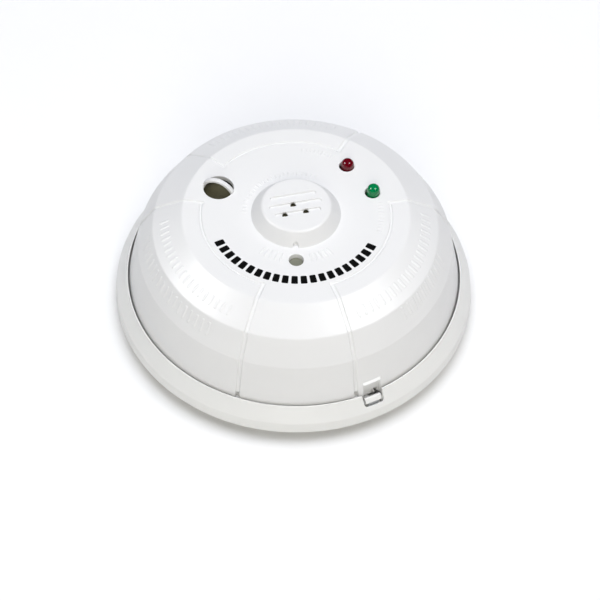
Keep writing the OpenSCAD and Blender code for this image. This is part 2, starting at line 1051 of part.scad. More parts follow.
// End caps of the fuse and the two clips that hold them
module fuse_clips() {
    cap_len = 4;
    color("silver")
        translate(concat(fuse_place, [0]))
            for (s = [-1, 1])
                translate([s * (fuse_len - cap_len) / 2, 0, 0]) {
                    translate([0, 0, fuse_z])
                        rotate([0, 90, 0])
                            translate([0, 0, -cap_len / 2])
                                cylinder(r = fuse_r, h = cap_len);
                    translate([-1.2, -fuse_r - 0.2, board_top])
                        cube([2.4, 2 * fuse_r + 0.4, fuse_z - board_top]);
                }
}

module regulator() {
    color("black")
        translate(concat(regulator_place, [board_top])) {
            translate([-5, -2.2, 3])
                cube([10, 4.4, 9]);
            translate([-5, 0.9, 3])
                cube([10, 1.3, 15.5]);
            for (i = [-1:1])
                translate([i * 2.54 - 0.4, -0.6, 0])
                    cube([0.8, 0.5, 3.2]);
        }
}

module driver_coil() {
    color("darkslategray")
        translate(concat(coil_place, [board_top]))
            rotate_extrude()
                polygon([
                    [0, 0], [4.5, 0], [4.5, 1.5], [3.9, 1.5], [3.9, 8.5], [4.5, 8.5], [4.5, 10], [0, 10]
                ]);
}

module axial_body(part) {
    translate([part[0], part[1], board_top + part[4] + 0.4])
        rotate(part[2])
            rotate([0, 90, 0])
                translate([0, 0, -part[3]])
                    cylinder(r = part[4], h = 2 * part[3]);
}

module axial_legs(part) {
    h = part[4] + 0.4;
    translate([part[0], part[1], board_top])
        rotate(part[2])
            for (s = [-1, 1])
                scale([s, 1, 1])
                    translate([part[3], 0, 0]) {
                        translate([axial_bend, 0, 0])
                            cylinder(r = axial_leg_r, h = h + axial_leg_r);
                        translate([0, 0, h])
                            rotate([0, 90, 0])
                                cylinder(r = axial_leg_r * 0.95, h = axial_bend);
                    }
}

module resistors() {
    color("burlywood")
        for (part = resistor_list)
            axial_body(part);
}

module diodes() {
    color("black")
        for (part = diode_list)
            axial_body(part);
}

module component_leads() {
    color("silver") {
        for (part = concat(resistor_list, diode_list))
            axial_legs(part);
        for (s = [-1, 1])
            translate([varistor_place[0] + s * 2.5, varistor_place[1], board_top])
                cylinder(r = axial_leg_r, h = 2.6);
    }
}

module chip(place, length) {
    translate([place[0] - length / 2, place[1] - chip_w / 2, board_top + chip_lift])
        cube([length, chip_w, chip_h]);
}

module chip_side_legs(place, length) {
    count = floor(length / 2.54);
    for (i = [0:count - 1])
        for (s = [-1, 1])
            translate([
                place[0] + (i - (count - 1) / 2) * 2.54 - 0.4, place[1] + s * (chip_w / 2 + 0.25) - 0.25,
                board_top
            ])
                cube([0.8, 0.5, chip_lift + chip_h / 2]);
}

module microcontroller() {
    color("black")
        chip(mcu_place, mcu_len);
}

module amplifier_chip() {
    color("black")
        chip(amp_place, amp_len);
}

module chip_legs() {
    color("silver") {
        chip_side_legs(mcu_place, mcu_len);
        chip_side_legs(amp_place, amp_len);
    }
}

mounting_base();
lock_tab();
lock_pin();
lock_spring();
draught_seal();
front_cover();
rear_housing();
cover_screws();
rating_label();
power_inlet();
inlet_pins();
circuit_board();
board_screws();
sensor_shroud();
sensor_gasket();
sensor_screen();
sensor_base();
sensor_can();
sensor_cap();
sensor_pins();
sounder_housing();
sounder_screen();
piezo_disc();
piezo_ceramic();
sounder_contacts();
red_lamp();
green_lamp();
lamp_spacers();
lamp_leads();
test_button();
switch_body();
switch_frame();
switch_plunger();
transformer_core();
transformer_winding();
electrolytic_capacitors();
film_capacitor();
varistor();
fuse_tube();
fuse_clips();
regulator();
driver_coil();
diodes();
resistors();
component_leads();
microcontroller();
amplifier_chip();
chip_legs();
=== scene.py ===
"""Looks of a mains carbon monoxide detector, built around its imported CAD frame.

Shapes are worked out in millimetres and turned to metres when a mesh is made.
The back of the wall ring rests on z = 0, the face looks along +Z and the test button is towards -Y.
"""

import json
import math
from functools import partial

import bmesh
import bpy
import numpy as np
from mathutils import Matrix, Vector
from mathutils.geometry import delaunay_2d_cdt


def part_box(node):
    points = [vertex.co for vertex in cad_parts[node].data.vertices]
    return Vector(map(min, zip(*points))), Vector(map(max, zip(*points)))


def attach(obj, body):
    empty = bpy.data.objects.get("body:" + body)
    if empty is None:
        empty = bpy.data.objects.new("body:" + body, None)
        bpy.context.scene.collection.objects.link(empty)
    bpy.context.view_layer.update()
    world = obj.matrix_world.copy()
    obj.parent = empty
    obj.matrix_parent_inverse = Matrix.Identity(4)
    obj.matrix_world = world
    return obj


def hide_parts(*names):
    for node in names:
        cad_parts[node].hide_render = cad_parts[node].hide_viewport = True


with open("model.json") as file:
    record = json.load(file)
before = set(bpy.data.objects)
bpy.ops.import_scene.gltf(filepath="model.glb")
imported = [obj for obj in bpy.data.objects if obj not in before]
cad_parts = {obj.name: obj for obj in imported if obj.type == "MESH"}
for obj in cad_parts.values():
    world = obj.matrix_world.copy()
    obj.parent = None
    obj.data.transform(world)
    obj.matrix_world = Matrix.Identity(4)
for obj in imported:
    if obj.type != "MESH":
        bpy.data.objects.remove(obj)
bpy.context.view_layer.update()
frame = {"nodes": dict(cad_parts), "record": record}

MM = 0.001


def cad_box_mm(node):
    """Lowest and highest corner of a CAD node in millimetres"""
    low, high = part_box(node)
    return np.array(low) / MM, np.array(high) / MM


# ---------- sizes, in millimetres ----------

RING_R = cad_box_mm("mounting_base")[1][0]
RING_H = cad_box_mm("mounting_base")[1][2]
BOSS_Z = cad_box_mm("front_cover")[1][2]
FACE_Z = BOSS_Z - 5.9
WALL_T = 2.2

BOSS_TOP_R = 14.7
BOSS_FOOT_R = 19.1
FACE_R = RING_R - 30
SKIRT_R = RING_R - 6.4
SKIRT_Z = 2.8
COVER_CORNERS = [
    (0, BOSS_Z, 0),
    (BOSS_TOP_R, BOSS_Z, 1.8),
    (BOSS_FOOT_R, FACE_Z, 0.4),
    (FACE_R, FACE_Z, 2.5),
    (RING_R - 17.3, FACE_Z - 7.5, 2.5),
    (RING_R - 10.7, FACE_Z - 18.8, 3),
    (SKIRT_R, RING_H - 0.6, 6),
    (SKIRT_R, SKIRT_Z, 0),
]

GROOVE_R = 40.6
GROOVE_DEPTH = 0.6
GROOVE_EDGE = (-0.4, 0.22)
ARC_HALF = 0.6
LEG_HALF = 0.9
PANEL_STARTS = (64, 174, -67.2)
PANEL_ANGLE = 78
LEG_ANGLES = [s + a for s in PANEL_STARTS for a in (0, PANEL_ANGLE)]
LEG_LOW_Z = RING_H
DRAIN_Z = (RING_H - 2, RING_H + 1)
DRAIN_R = SKIRT_R - 1.6

LINE_TILT = 14.7
LINE_HALF_W = 1.1
LINE_DEPTH = 0.85
LINE_EDGE = (-0.3, 0.12)
LINE_SHIFT = -0.2
LINES = [(5.1, 8.85), (0.45, 10.2), (-4.2, 8.7)]
GAS_HOLE_R = 1.25
GAS_WIDE_R = 2.1
GAS_LAND = 0.4
GAS_FILLET = 0.15
GAS_HOLES = [(-1.2, 0.45), (3.3, -4.2), (-5.8, -4.2)]
BOSS_NOTCH_X = 0.3
BOSS_NOTCH_Y = -18.55
BOSS_NOTCH_R = 1.3

# Holes in the face: distance from the axis, angle, radius and rounding of the edge
PORT = (36, 158.5, 6.45, 0.4)
TEST_HOLE = (25.3, -88.3, 3.1, 0.35)
LAMP_HOLES = [(35, 52.7, 3.25, 0.3), (35, 22.3, 3.25, 0.3)]
GUIDE_WALL = 1.2
GUIDE_LOW = 40
HOOP_R = 7
HOOP_SECTION = (1.0, 0.7, 0.35)
HOOP_DROP = 3.1

POST_PLACE_R = 57
POST_R = 3.5
POST_LOW = 10.3
SCREW_HOLE_R = 1.55
SCREW_HOLE_TOP = 25.3

TAB_ANGLE = -62
TAB_Y = -0.05
TAB_W = 7.3
TOOTH_Y = -1.3
TOOTH_HALF_W = 1.3
NOTCH_HALF = 4.55
NOTCH_Z = 7.3
NOTCH_BACK_DROP = 1.3
NOTCH_BACK_SIDE = 0.5
NOTCH_ROUND = 1.0
NOTCH_WALL = 0.12
NOTCH_EDGE = 0.55
PIVOT = (RING_R - 4.7, 3.9)
BARREL_R = 1.3
PIN_R = 0.75
STEM_X = (SKIRT_R + 0.6, SKIRT_R + 2)
HEAD_Z = (NOTCH_Z + 0.4, 10.2)
HEAD_LEDGE = 0.5
TOOTH_Z = (5.6, 6.4, 7)
TAB_BEVEL = 0.28

POCKET_ANGLE = -61.4
POCKET_HALF_W = 4
WINDOW_ANGLES = (TAB_ANGLE - 16, TAB_ANGLE + 4)
WINDOW_Z = 7.6
POCKET_Z = (WINDOW_Z - 1, 16.4)
POCKET_X = SKIRT_R - 1.5
POCKET_BACK = 1.7
POCKET_RIM = 1.2
POCKET_LIP = 0.9
LIP_RISE = (0.1, 0.75)
TOOL_HOLE_Y = (0.6, 3)
TOOL_HOLE_Z = (WINDOW_Z - 0.5, 10.4)

PLATE_T = 2
ENTRY_R = 34
RING_END_R = RING_R - 1
RIM_TOP_R = RING_R - 5.2
RIM_FOOT = (RING_R - 0.6, 5.2)
BASE_CORNERS = [
    (ENTRY_R, PLATE_T, 0),
    (RING_R - 2.6, PLATE_T, 0),
    (RING_R - 3, 5.9, 0),
    (RING_R - 5.7, RING_H - 1.8, 0),
    (RING_R - 5.7, RING_H, 0.15),
    (RIM_TOP_R, RING_H, 0.25),
    (*RIM_FOOT, 1.2),
    (RING_R, 0, 0.5),
    (RING_END_R, 0, 0),
]
SLOT_PLACE_R = 43
SLOT_HALF_RUN = 3.7
SLOT_R = 2.3
SLOT_FILLET = 0.25
EAR_X = (PIVOT[0] - 1.3, PIVOT[0] + 1.6)
EAR_Z = (PLATE_T - 0.5, PLATE_T + 3.4)
EAR_T = 1.5
EAR_GAP = 0.3
HOOK_R = (56.5, 60, 62)
HOOK_Z = (PLATE_T - 0.5, 5.2, 7)
HOOK_SPAN = (-5.5, 6.5)
STOP_SPAN = (-7, -5.4)

# Rows of short raised ribs: first and last angle, flattened distance of their two ends, pitch, half width
RIB_ROWS = [
    (183.5, 242, 54.9, 59.4, 3.0, 0.62),
    (186.5, 237, 65.4, 71.6, 3.4, 0.7),
    (-61, 5, 54.1, 59.1, 3.0, 0.62),
    (-43, -11.5, 63.9, 70.5, 3.4, 0.7),
    (74, 132, 54.8, 60.2, 3.0, 0.62),
    (76, 125.5, 65, 70.8, 3.4, 0.7),
    (-123, -103, 22.4, 27.2, 2.2, 0.45),
    (-74, -54, 22.4, 27.2, 2.2, 0.45),
    (-13.5, 11.5, 35, 37.4, 1.8, 0.35),
    (65.5, 87, 35, 37.4, 1.8, 0.35),
    (70, 180, 21.2, 23.3, 1.9, 0.35),
]
RIB_HEIGHT = 0.26
RIB_EDGE = (-0.32, 0.14)

PRINT_R = 36
PRINT_ANGLES = (-151, -28)
PRINT_COUNT = 21
PRINT_HALF = (1.35, 2.05)
PRINT_ROUND = 0.45
PRINT_T = 0.03

QUARTERS = range(0, 360, 90)
SHARP_GAP = 0.001


# ---------- turned outlines ----------


def outline_sides(corners):
    """Corner places of an open outline, with the direction and outward normal of each side"""
    place = np.array([c[:2] for c in corners], float)
    run = np.diff(place, axis=0)
    run /= np.linalg.norm(run, axis=1)[:, None]
    return place, run, np.stack([-run[:, 1], run[:, 0]], 1)


def rounded_outline(corners, steps=8):
    """Points, outward normals and first index of each corner of an open (radius, height, rounding) outline"""
    place, run, out = outline_sides(corners)
    points, normals, starts = [place[0]], [out[0]], [0]
    for i in range(1, len(place) - 1):
        a, b = out[i - 1], out[i]
        starts.append(len(points))
        turn = math.atan2(a[0] * b[1] - a[1] * b[0], a @ b)
        if corners[i][2] <= 0:
            points += [place[i], place[i] + SHARP_GAP * run[i]]
            normals += [a, b]
            continue
        radius = math.copysign(corners[i][2], turn)
        centre = place[i] - run[i - 1] * abs(radius) * math.tan(abs(turn) / 2) + radius * a
        for share in np.linspace(0, 1, steps + 1):
            angle = math.atan2(a[1], a[0]) + turn * share
            normal = np.array([math.cos(angle), math.sin(angle)])
            points.append(centre - radius * normal)
            normals.append(normal)
    points.append(place[-1])
    normals.append(out[-1])
    return np.array(points), np.array(normals), starts


def inset_corners(corners, depth):
    """The same outline moved inward by depth"""
    place, _, out = outline_sides(corners)
    moved = []
    for i, corner in enumerate(corners):
        a = out[max(i - 1, 0)]
        b = out[min(i, len(out) - 1)]
        p = place[i] - depth * (a + b) / (1 + a @ b)
        moved.append((p[0], p[1], max(corner[2] - depth, 0)))
    return moved


class Profile:
    """A turned outline laid flat: distances are radii up to corner flat_until, then lengths along it"""

    def __init__(self, corners, flat_until):
        points, self.normals, starts = rounded_outline(corners)
        self.r, self.z = points.T
        first = starts[flat_until]
        peak = first + int(np.argmax(self.z[first:]))
        along = np.r_[0, np.cumsum(np.hypot(*np.diff(points, axis=0).T))]
        unrolled = self.r[first] + along - along[first]
        self.flat = np.where(np.arange(len(points)) <= first, self.r, unrolled)
        self.rising, self.falling = slice(first, peak + 1), slice(peak, None)

    def at(self, flat):
        """Radius, height and outward normal at a flattened distance"""
        return [np.interp(flat, self.flat, v) for v in (self.r, self.z, *self.normals.T)]

    def from_height(self, z):
        """Flattened distance on the falling side at height z"""
        return np.interp(-np.asarray(z, float), -self.z[self.falling], self.flat[self.falling])

    def from_height_inside(self, z):
        """Flattened distance on the rising side at height z"""
        return np.interp(z, self.z[self.rising], self.flat[self.rising])

    def beside(self, flat, degrees, across):
        """Flattened places at a distance across from a direction of the plan"""
        return polar(flat, degrees + np.degrees(np.arcsin(across / self.at(flat)[0])))

    def from_radius(self, r):
        """Flattened distance at a radius, where the outline only widens"""
        return np.interp(r, self.r, self.flat)


COVER = Profile(COVER_CORNERS, 3)
COVER_INSIDE = Profile(inset_corners(COVER_CORNERS, WALL_T), 3)
BASE = Profile(BASE_CORNERS, 1)


# ---------- distances and ramps ----------


def ramp(distance, full, none):
    """1 where distance is at most full, 0 where it is at least none, smooth between them"""
    t = np.clip((none - distance) / (none - full), 0, 1)
    return t * t * (3 - 2 * t)


def edge_drop(distance, fillet):
    """Height of a quarter-round edge at a distance outside a hole, steep inside it"""
    reach = fillet - np.clip(distance, 0, fillet)
    steep = 15
    return np.sqrt(fillet**2 - reach**2) - fillet + steep * np.minimum(distance, 0)


def polar(radius, degrees):
    """A point in the plan"""
    angle = np.radians(degrees)
    return np.stack([radius * np.cos(angle), radius * np.sin(angle)], -1)


def ring_points(radius, count, centre=(0, 0)):
    """Evenly spaced points round a circle"""
    return polar(radius, np.arange(count) * 360 / count) + centre


def turned(xy, degrees):
    """Points turned about the axis"""
    c, s = math.cos(math.radians(degrees)), math.sin(math.radians(degrees))
    return np.asarray(xy) @ np.array([[c, s], [-s, c]])


def placed(along, across, z, degrees):
    """Points given along and across a direction of the plan, and by height"""
    along, across, z = np.broadcast_arrays(along, across, z)
    return np.column_stack([turned(np.stack([along, across], 1), degrees), z])


def distance_to(xy, centre):
    return np.hypot(*(xy - centre).T)


def to_polar(xy):
    return np.hypot(xy[:, 0], xy[:, 1]), np.arctan2(xy[:, 1], xy[:, 0])


def angle_from(theta, degrees):
    """Signed angle in radians from a direction"""
    return (theta - math.radians(degrees) + math.pi) % (2 * math.pi) - math.pi


def capsule_distance(along, across, half_run, radius):
    """Distance from a slot with round ends"""
    return np.hypot(np.maximum(np.abs(along) - half_run, 0), across) - radius


def capsule_points(half_run, radius, count):
    """Outline of a slot with round ends: places along and across it"""
    ends = np.radians(np.r_[np.linspace(-90, 90, count), np.linspace(90, 270, count)])
    return radius * np.cos(ends) + half_run * np.repeat([1, -1], count), radius * np.sin(ends)


def box_distance(across, z, half, heights, radius):
    """Distance from a rounded rectangle that reaches half to each side between two heights"""
    low, high = heights
    du = np.abs(across) - half + radius
    dv = np.abs(z - (low + high) / 2) - (high - low) / 2 + radius
    return np.hypot(np.maximum(du, 0), np.maximum(dv, 0)) + np.minimum(np.maximum(du, dv), 0) - radius


def groove_distance(r, theta):
    """Distance from the grooves that outline the three panels"""
    best = np.full(r.shape, 9.0)
    for start in PANEL_STARTS:
        middle = angle_from(theta, start + PANEL_ANGLE / 2)
        arc = np.where(np.abs(middle) < math.radians(PANEL_ANGLE / 2), np.abs(r - GROOVE_R) - ARC_HALF, 9)
        best = np.minimum(best, arc)
    for angle in LEG_ANGLES:
        turn = angle_from(theta, angle)
        before = GROOVE_R - LEG_HALF - r * np.cos(turn)
        best = np.minimum(best, np.maximum(np.abs(r * np.sin(turn)) - LEG_HALF, before))
    return best


def rib_angles(row):
    """Angles of the ribs of one row, in degrees"""
    start, stop, low, high, pitch, _ = row
    r = COVER.at((low + high) / 2)[0]
    count = max(2, round(math.radians(stop - start) * r / pitch) + 1)
    return np.linspace(start, stop, count)


def rib_distance(flat, r, theta, row):
    """Distance from the nearest rib of a row"""
    _, _, low, high, _, half_w = row
    angles = rib_angles(row)
    pitch = angles[1] - angles[0]
    turn = np.degrees(angle_from(theta, (angles[0] + angles[-1]) / 2)) + (angles[-1] - angles[0]) / 2
    nearest = np.clip(np.round(turn / pitch), 0, len(angles) - 1) * pitch
    across = r * np.radians(turn - nearest)
    half_run = (high - low) / 2 - half_w
    return capsule_distance(flat - (low + high) / 2, across, half_run, half_w)


# ---------- surfaces of the cover and the wall ring ----------

GAS_CENTRES = turned(GAS_HOLES, LINE_TILT)
FACE_HOLES = [(polar(*hole[:2]), *hole[2:]) for hole in (PORT, TEST_HOLE, *LAMP_HOLES)]
TEST_INDEX, GAS_FIRST = 1, len(FACE_HOLES)
FACE_HOLES += [(centre, GAS_HOLE_R, GAS_FILLET) for centre in GAS_CENTRES]


def hole_count(radius):
    """How many points go round a hole in the face"""
    return 56 if radius > 2 else 28


def cover_lift(xy, flat, r, theta, z):
    """How far the surface stands out along its normal"""
    lift = -GROOVE_DEPTH * ramp(groove_distance(r, theta), *GROOVE_EDGE) * (z > LEG_LOW_Z)
    local = turned(xy, -LINE_TILT)
    for place, half_run in LINES:
        distance = capsule_distance(local[:, 0] - LINE_SHIFT, local[:, 1] - place, half_run, LINE_HALF_W)
        lift -= LINE_DEPTH * ramp(distance, *LINE_EDGE)
    for centre, radius, fillet in FACE_HOLES:
        lift += edge_drop(distance_to(xy, centre) - radius, fillet)
    for row in RIB_ROWS:
        lift += RIB_HEIGHT * ramp(rib_distance(flat, r, theta, row), *RIB_EDGE)
    return lift


def cut_boss_notch(xy, z):
    """Flat floor of the small notch at the foot of the raised centre"""
    past = np.maximum(xy[:, 1] - BOSS_NOTCH_Y, 0)
    distance = np.hypot(xy[:, 0] - BOSS_NOTCH_X, past) - BOSS_NOTCH_R
    share = ramp(distance, -0.3, 0.08) * (np.abs(xy[:, 1] - BOSS_NOTCH_Y) < 2.5)
    return z + share * (FACE_Z - z)


def cut_drains(r, theta, z):
    """Small deeper cuts at the feet of the radial grooves"""
    for angle in LEG_ANGLES:
        turn = angle_from(theta, angle)
        across = np.where(np.cos(turn) > 0, SKIRT_R * np.sin(turn), 99)
        distance = box_distance(across, z, LEG_HALF, DRAIN_Z, 0.3)
        r = r + ramp(distance, -0.25, 0.1) * np.minimum(DRAIN_R - r, 0)
    return r


def cut_pocket(x, y, z):
    """Pocket above the lock tab and the bright lip over it, in the pocket's own frame"""
    top = POCKET_Z[1]
    fade = np.clip((top + LIP_RISE[1] - z) / (LIP_RISE[1] - LIP_RISE[0]), 0, 1)
    lip = fade * ramp(np.abs(y), POCKET_HALF_W, POCKET_HALF_W + 0.4) * ramp(top - z, -0.1, 0.1)
    x = x + POCKET_LIP * lip * (x > 0)
    share = ramp(box_distance(y, z, POCKET_HALF_W, POCKET_Z, 0.4), -0.25, 0.08) * (x > 0)
    return x + share * (POCKET_X - x)


def cover_surface(xy):
    """The outside of the cover over its flattened plan"""
    flat, theta = to_polar(xy)
    r, z, normal_r, normal_z = COVER.at(flat)
    lift = cover_lift(xy, flat, r, theta, z)
    r = cut_drains(r + normal_r * lift, theta, z + normal_z * lift)
    z = cut_boss_notch(xy, z + normal_z * lift)
    turn = angle_from(theta, POCKET_ANGLE)
    y = r * np.sin(turn)
    return placed(cut_pocket(r * np.cos(turn), y, z), y, z, POCKET_ANGLE)


def cover_inside(xy):
    """The inside of the cover over its own flattened plan, with the pocket's backing"""
    flat, theta = to_polar(xy)
    r, z, _, _ = COVER_INSIDE.at(flat)
    turn = angle_from(theta, POCKET_ANGLE)
    x, y = r * np.cos(turn), r * np.sin(turn)
    heights = (POCKET_Z[0] - POCKET_RIM, POCKET_Z[1] + POCKET_RIM)
    backing = ramp(box_distance(y, z, POCKET_HALF_W + POCKET_RIM, heights, 0.4), -0.4, 0.1) * (x > 0)
    return placed(x + backing * np.minimum(POCKET_X - POCKET_BACK - x, 0), y, z, POCKET_ANGLE)


def notch_height(y):
    """Height that the rim is cut down to at a place across the notch"""
    a = np.abs(y)
    low = np.clip(a - NOTCH_HALF + NOTCH_ROUND, 0, NOTCH_ROUND)
    floor = NOTCH_Z + NOTCH_ROUND - np.sqrt(NOTCH_ROUND**2 - low**2)
    edge = NOTCH_EDGE - np.clip(a - NOTCH_HALF - NOTCH_WALL, 0, NOTCH_EDGE)
    top = RING_H - NOTCH_EDGE + np.sqrt(NOTCH_EDGE**2 - edge**2)
    share = np.clip((a - NOTCH_HALF) / NOTCH_WALL, 0, 1)
    return floor + share * (top - floor)


def base_surface(xy):
    """The top of the wall ring, from the wire entry over the rim to the foot, over its flattened plan"""
    flat, theta = to_polar(xy)
    turn = angle_from(theta, TAB_ANGLE)
    across = BASE.at(flat)[0] * np.sin(turn)
    height = np.where(np.cos(turn) > 0, notch_height(across), RING_H)
    side = NOTCH_HALF - NOTCH_BACK_SIDE
    back = height - NOTCH_BACK_DROP * ramp(np.abs(across), side, side + 0.1)
    inner, outer = BASE.from_height_inside(back), BASE.from_height(height)
    low, high = BASE.at(inner)[0], BASE.at(outer)[0]
    cut = (flat > inner) & (flat < outer) & (height < RING_H - 1e-6)
    share = (flat - inner) / np.maximum(outer - inner, 1e-6)
    r, z, _, _ = BASE.at(flat)
    r = np.where(cut, low + share * (high - low), r)
    z = np.where(cut, back + share * (height - back), z)
    for angle in QUARTERS:
        z = z + edge_drop(np.maximum(slot_distance(xy, angle), 0), SLOT_FILLET)
    return np.column_stack([r * np.cos(theta), r * np.sin(theta), z])


def slot_distance(xy, angle):
    """Distance from one of the four screw slots in the back plate"""
    local = turned(xy, -angle)
    return capsule_distance(local[:, 0] - SLOT_PLACE_R, local[:, 1], SLOT_HALF_RUN, SLOT_R)


def surface_normals(surface, xy, reach=0.008):
    """Outward normals of a surface over its flattened plan"""
    dx = surface(xy + (reach, 0)) - surface(xy - (reach, 0))
    dy = surface(xy + (0, reach)) - surface(xy - (0, reach))
    normals = np.cross(dx, dy)
    return normals / np.maximum(np.linalg.norm(normals, axis=1), 1e-12)[:, None]


# ---------- triangulated sheets ----------


class Sheet:
    """Lines in a flattened plan, and the triangles that follow them"""

    cell = 0.4
    stride = 0.3

    def __init__(self):
        self.points = []
        self.edges = []

    def line(self, xy, closed=False):
        first, count = len(self.points), len(xy)
        self.points += [tuple(p) for p in xy]
        self.edges += [(first + i, first + (i + 1) % count) for i in range(count if closed else count - 1)]

    def circle(self, radius, spacing):
        self.line(ring_points(radius, max(12, round(2 * math.pi * radius / spacing))), closed=True)

    def dots(self, radius, spacing):
        """Points round a circle, without lines between them"""
        self.points += [tuple(p) for p in ring_points(radius, round(2 * math.pi * radius / spacing))]

    def crowded(self, gap, reach):
        """Cells that lie within gap of a line"""
        size = int(2 * reach / self.cell) + 3
        marks = np.zeros((size, size), bool)
        ends = np.array(self.points)[np.array(self.edges)]
        run = ends[:, 1] - ends[:, 0]
        counts = (np.linalg.norm(run, axis=1) / self.stride).astype(int) + 1
        for step in range(counts.max()):
            long = counts > step
            spots = ends[long, 0] + run[long] * ((step + 0.5) / counts[long])[:, None]
            place = ((spots + reach) / self.cell).astype(int)
            marks[place[:, 0], place[:, 1]] = True
        grown = marks.copy()
        span = int(gap / self.cell) + 1
        for i in range(-span, span + 1):
            for j in range(-span, span + 1):
                if math.hypot(i, j) * self.cell <= gap + 0.2:
                    grown |= np.roll(marks, (i, j), (0, 1))
        return grown

    def fill(self, low, high, spacing, gap=0.8):
        """Evenly spread points between two distances, away from the lines"""
        reach = high + 2
        marks = self.crowded(gap, reach)
        rows = max(1, round((high - low) / (spacing * 0.87)))
        for k in range(rows + 1):
            radius = low + (high - low) * k / rows
            count = max(1, round(2 * math.pi * radius / spacing))
            xy = polar(radius, (np.arange(count) + 0.5 * (k % 2)) * 360 / count)
            place = ((xy + reach) / self.cell).astype(int)
            self.points += [tuple(p) for p in xy[~marks[place[:, 0], place[:, 1]]]]

    def triangles(self, wanted):
        """Points and triangles, without the triangles that aren't wanted"""
        made = delaunay_2d_cdt([Vector(p) for p in self.points], self.edges, [], 0, 1e-5)
        xy = np.array([tuple(v) for v in made[0]], float)
        faces = np.array(made[2], int)
        faces = faces[wanted(xy[faces].mean(axis=1))]
        used, faces = np.unique(faces, return_inverse=True)
        return xy[used], faces.reshape(-1, 3)


def boundary_loops(faces):
    """The open edges of a triangulated sheet, as ordered loops of point indices"""
    edges = np.concatenate([faces[:, [0, 1]], faces[:, [1, 2]], faces[:, [2, 0]]])
    known = {tuple(e) for e in edges}
    follow = {a: b for a, b in known if (b, a) not in known}
    loops = []
    while follow:
        start, current = next(iter(follow.items()))
        loop = [start]
        del follow[start]
        while current != start:
            loop.append(current)
            current = follow.pop(current)
        loops.append(loop)
    return loops


class Shell:
    """Points and faces of one closed piece, in millimetres"""

    def __init__(self):
        self.points = []
        self.faces = []
        self.normals = {}

    def add(self, points, faces=(), normals=(), flip=False, known=()):
        """Adds points, apart from those that are known, and faces between them; returns the indices"""
        known = dict(known)
        places = []
        for i, point in enumerate(points):
            places.append(known.get(i, len(self.points)))
            if i not in known:
                self.points.append(tuple(point))
        order = -1 if flip else 1
        self.faces += [tuple(places[i] for i in face)[::order] for face in faces]
        self.normals.update(zip(places, normals))
        return places

    def bridge(self, ring, other):
        for i in range(len(ring)):
            j = (i + 1) % len(ring)
            self.faces.append((ring[j], ring[i], other[i], other[j]))

    def chain(self, ring, shapes, last=None):
        """Walls from a ring of points through further rings, to another ring or to a flat end"""
        for shape in shapes:
            following = self.add(shape)
            self.bridge(ring, following)
            ring = following
        if last is not None:
            self.bridge(ring, last)
        else:
            self.faces.append(tuple(ring[::-1]))

    def loft(self, rings):
        """A closed solid through rings of points, with flat ends"""
        first = self.add(rings[0])
        self.faces.append(tuple(first))
        self.chain(first, rings[1:])

    def place(self, ring):
        return np.array([self.points[i] for i in ring])


def make_object(name, shell, material, sharp=35):
    """A mesh object in metres with smooth shading"""
    mesh = bpy.data.meshes.new(name)
    mesh.from_pydata((np.array(shell.points) * MM).tolist(), [], shell.faces)
    mesh.polygons.foreach_set("use_smooth", [True] * len(mesh.polygons))
    mesh.set_sharp_from_angle(angle=math.radians(sharp))
    if shell.normals:
        set_normals(mesh, shell.normals)
    mesh.materials.append(material)
    made = bpy.data.objects.new(name, mesh)
    bpy.context.scene.collection.objects.link(made)
    return made


def set_normals(mesh, normals):
    """Gives worked-out normals to the faces whose points all have one"""
    corner_points = np.zeros(len(mesh.loops), int)
    mesh.loops.foreach_get("vertex_index", corner_points)
    starts = np.zeros(len(mesh.polygons), int)
    mesh.polygons.foreach_get("loop_start", starts)
    known = np.zeros((len(mesh.vertices), 3))
    known[list(normals)] = list(normals.values())
    has = np.zeros(len(mesh.vertices), bool)
    has[list(normals)] = True
    whole = np.logical_and.reduceat(has[corner_points], starts)
    use = np.repeat(whole, np.diff(np.r_[starts, len(mesh.loops)]))
    mesh.normals_split_custom_set(np.where(use[:, None], known[corner_points], 0).tolist())


def hole_loop(loops, xy, centre):
    """The small loop whose middle lies nearest to a place"""

    def away(loop):
        middle = xy[loop].mean(axis=0)
        wide = distance_to(xy[loop], middle).max() > 20
        return math.hypot(*(middle - centre)) + 1e3 * wide

    return min(loops, key=away)


def axis_loop(loops, xy, radius):
    """The loop whose mean distance from the axis is nearest to a radius"""
    return min(loops, key=lambda loop: abs(np.hypot(*xy[loop].T).mean() - radius))


def matching(places, xy, indices=None):
    """Which of the points of xy, or of their indices, lie on the given places"""
    nearest = [int(np.argmin(distance_to(xy, p))) for p in places]
    return nearest if indices is None else [indices[i] for i in nearest]


# ---------- the cover ----------


def rib_loops(sheet):
    """Lines round every raised rib"""
    for row in RIB_ROWS:
        _, _, low, high, _, half_w = row
        for angle in rib_angles(row):
            for grow in (0.16, -0.08, -0.3):
                along, across = capsule_points((high - low) / 2 - half_w, half_w + grow, 7)
                flat = (low + high) / 2 + along
                sheet.line(polar(flat, angle + np.degrees(across / COVER.at(flat)[0])), closed=True)


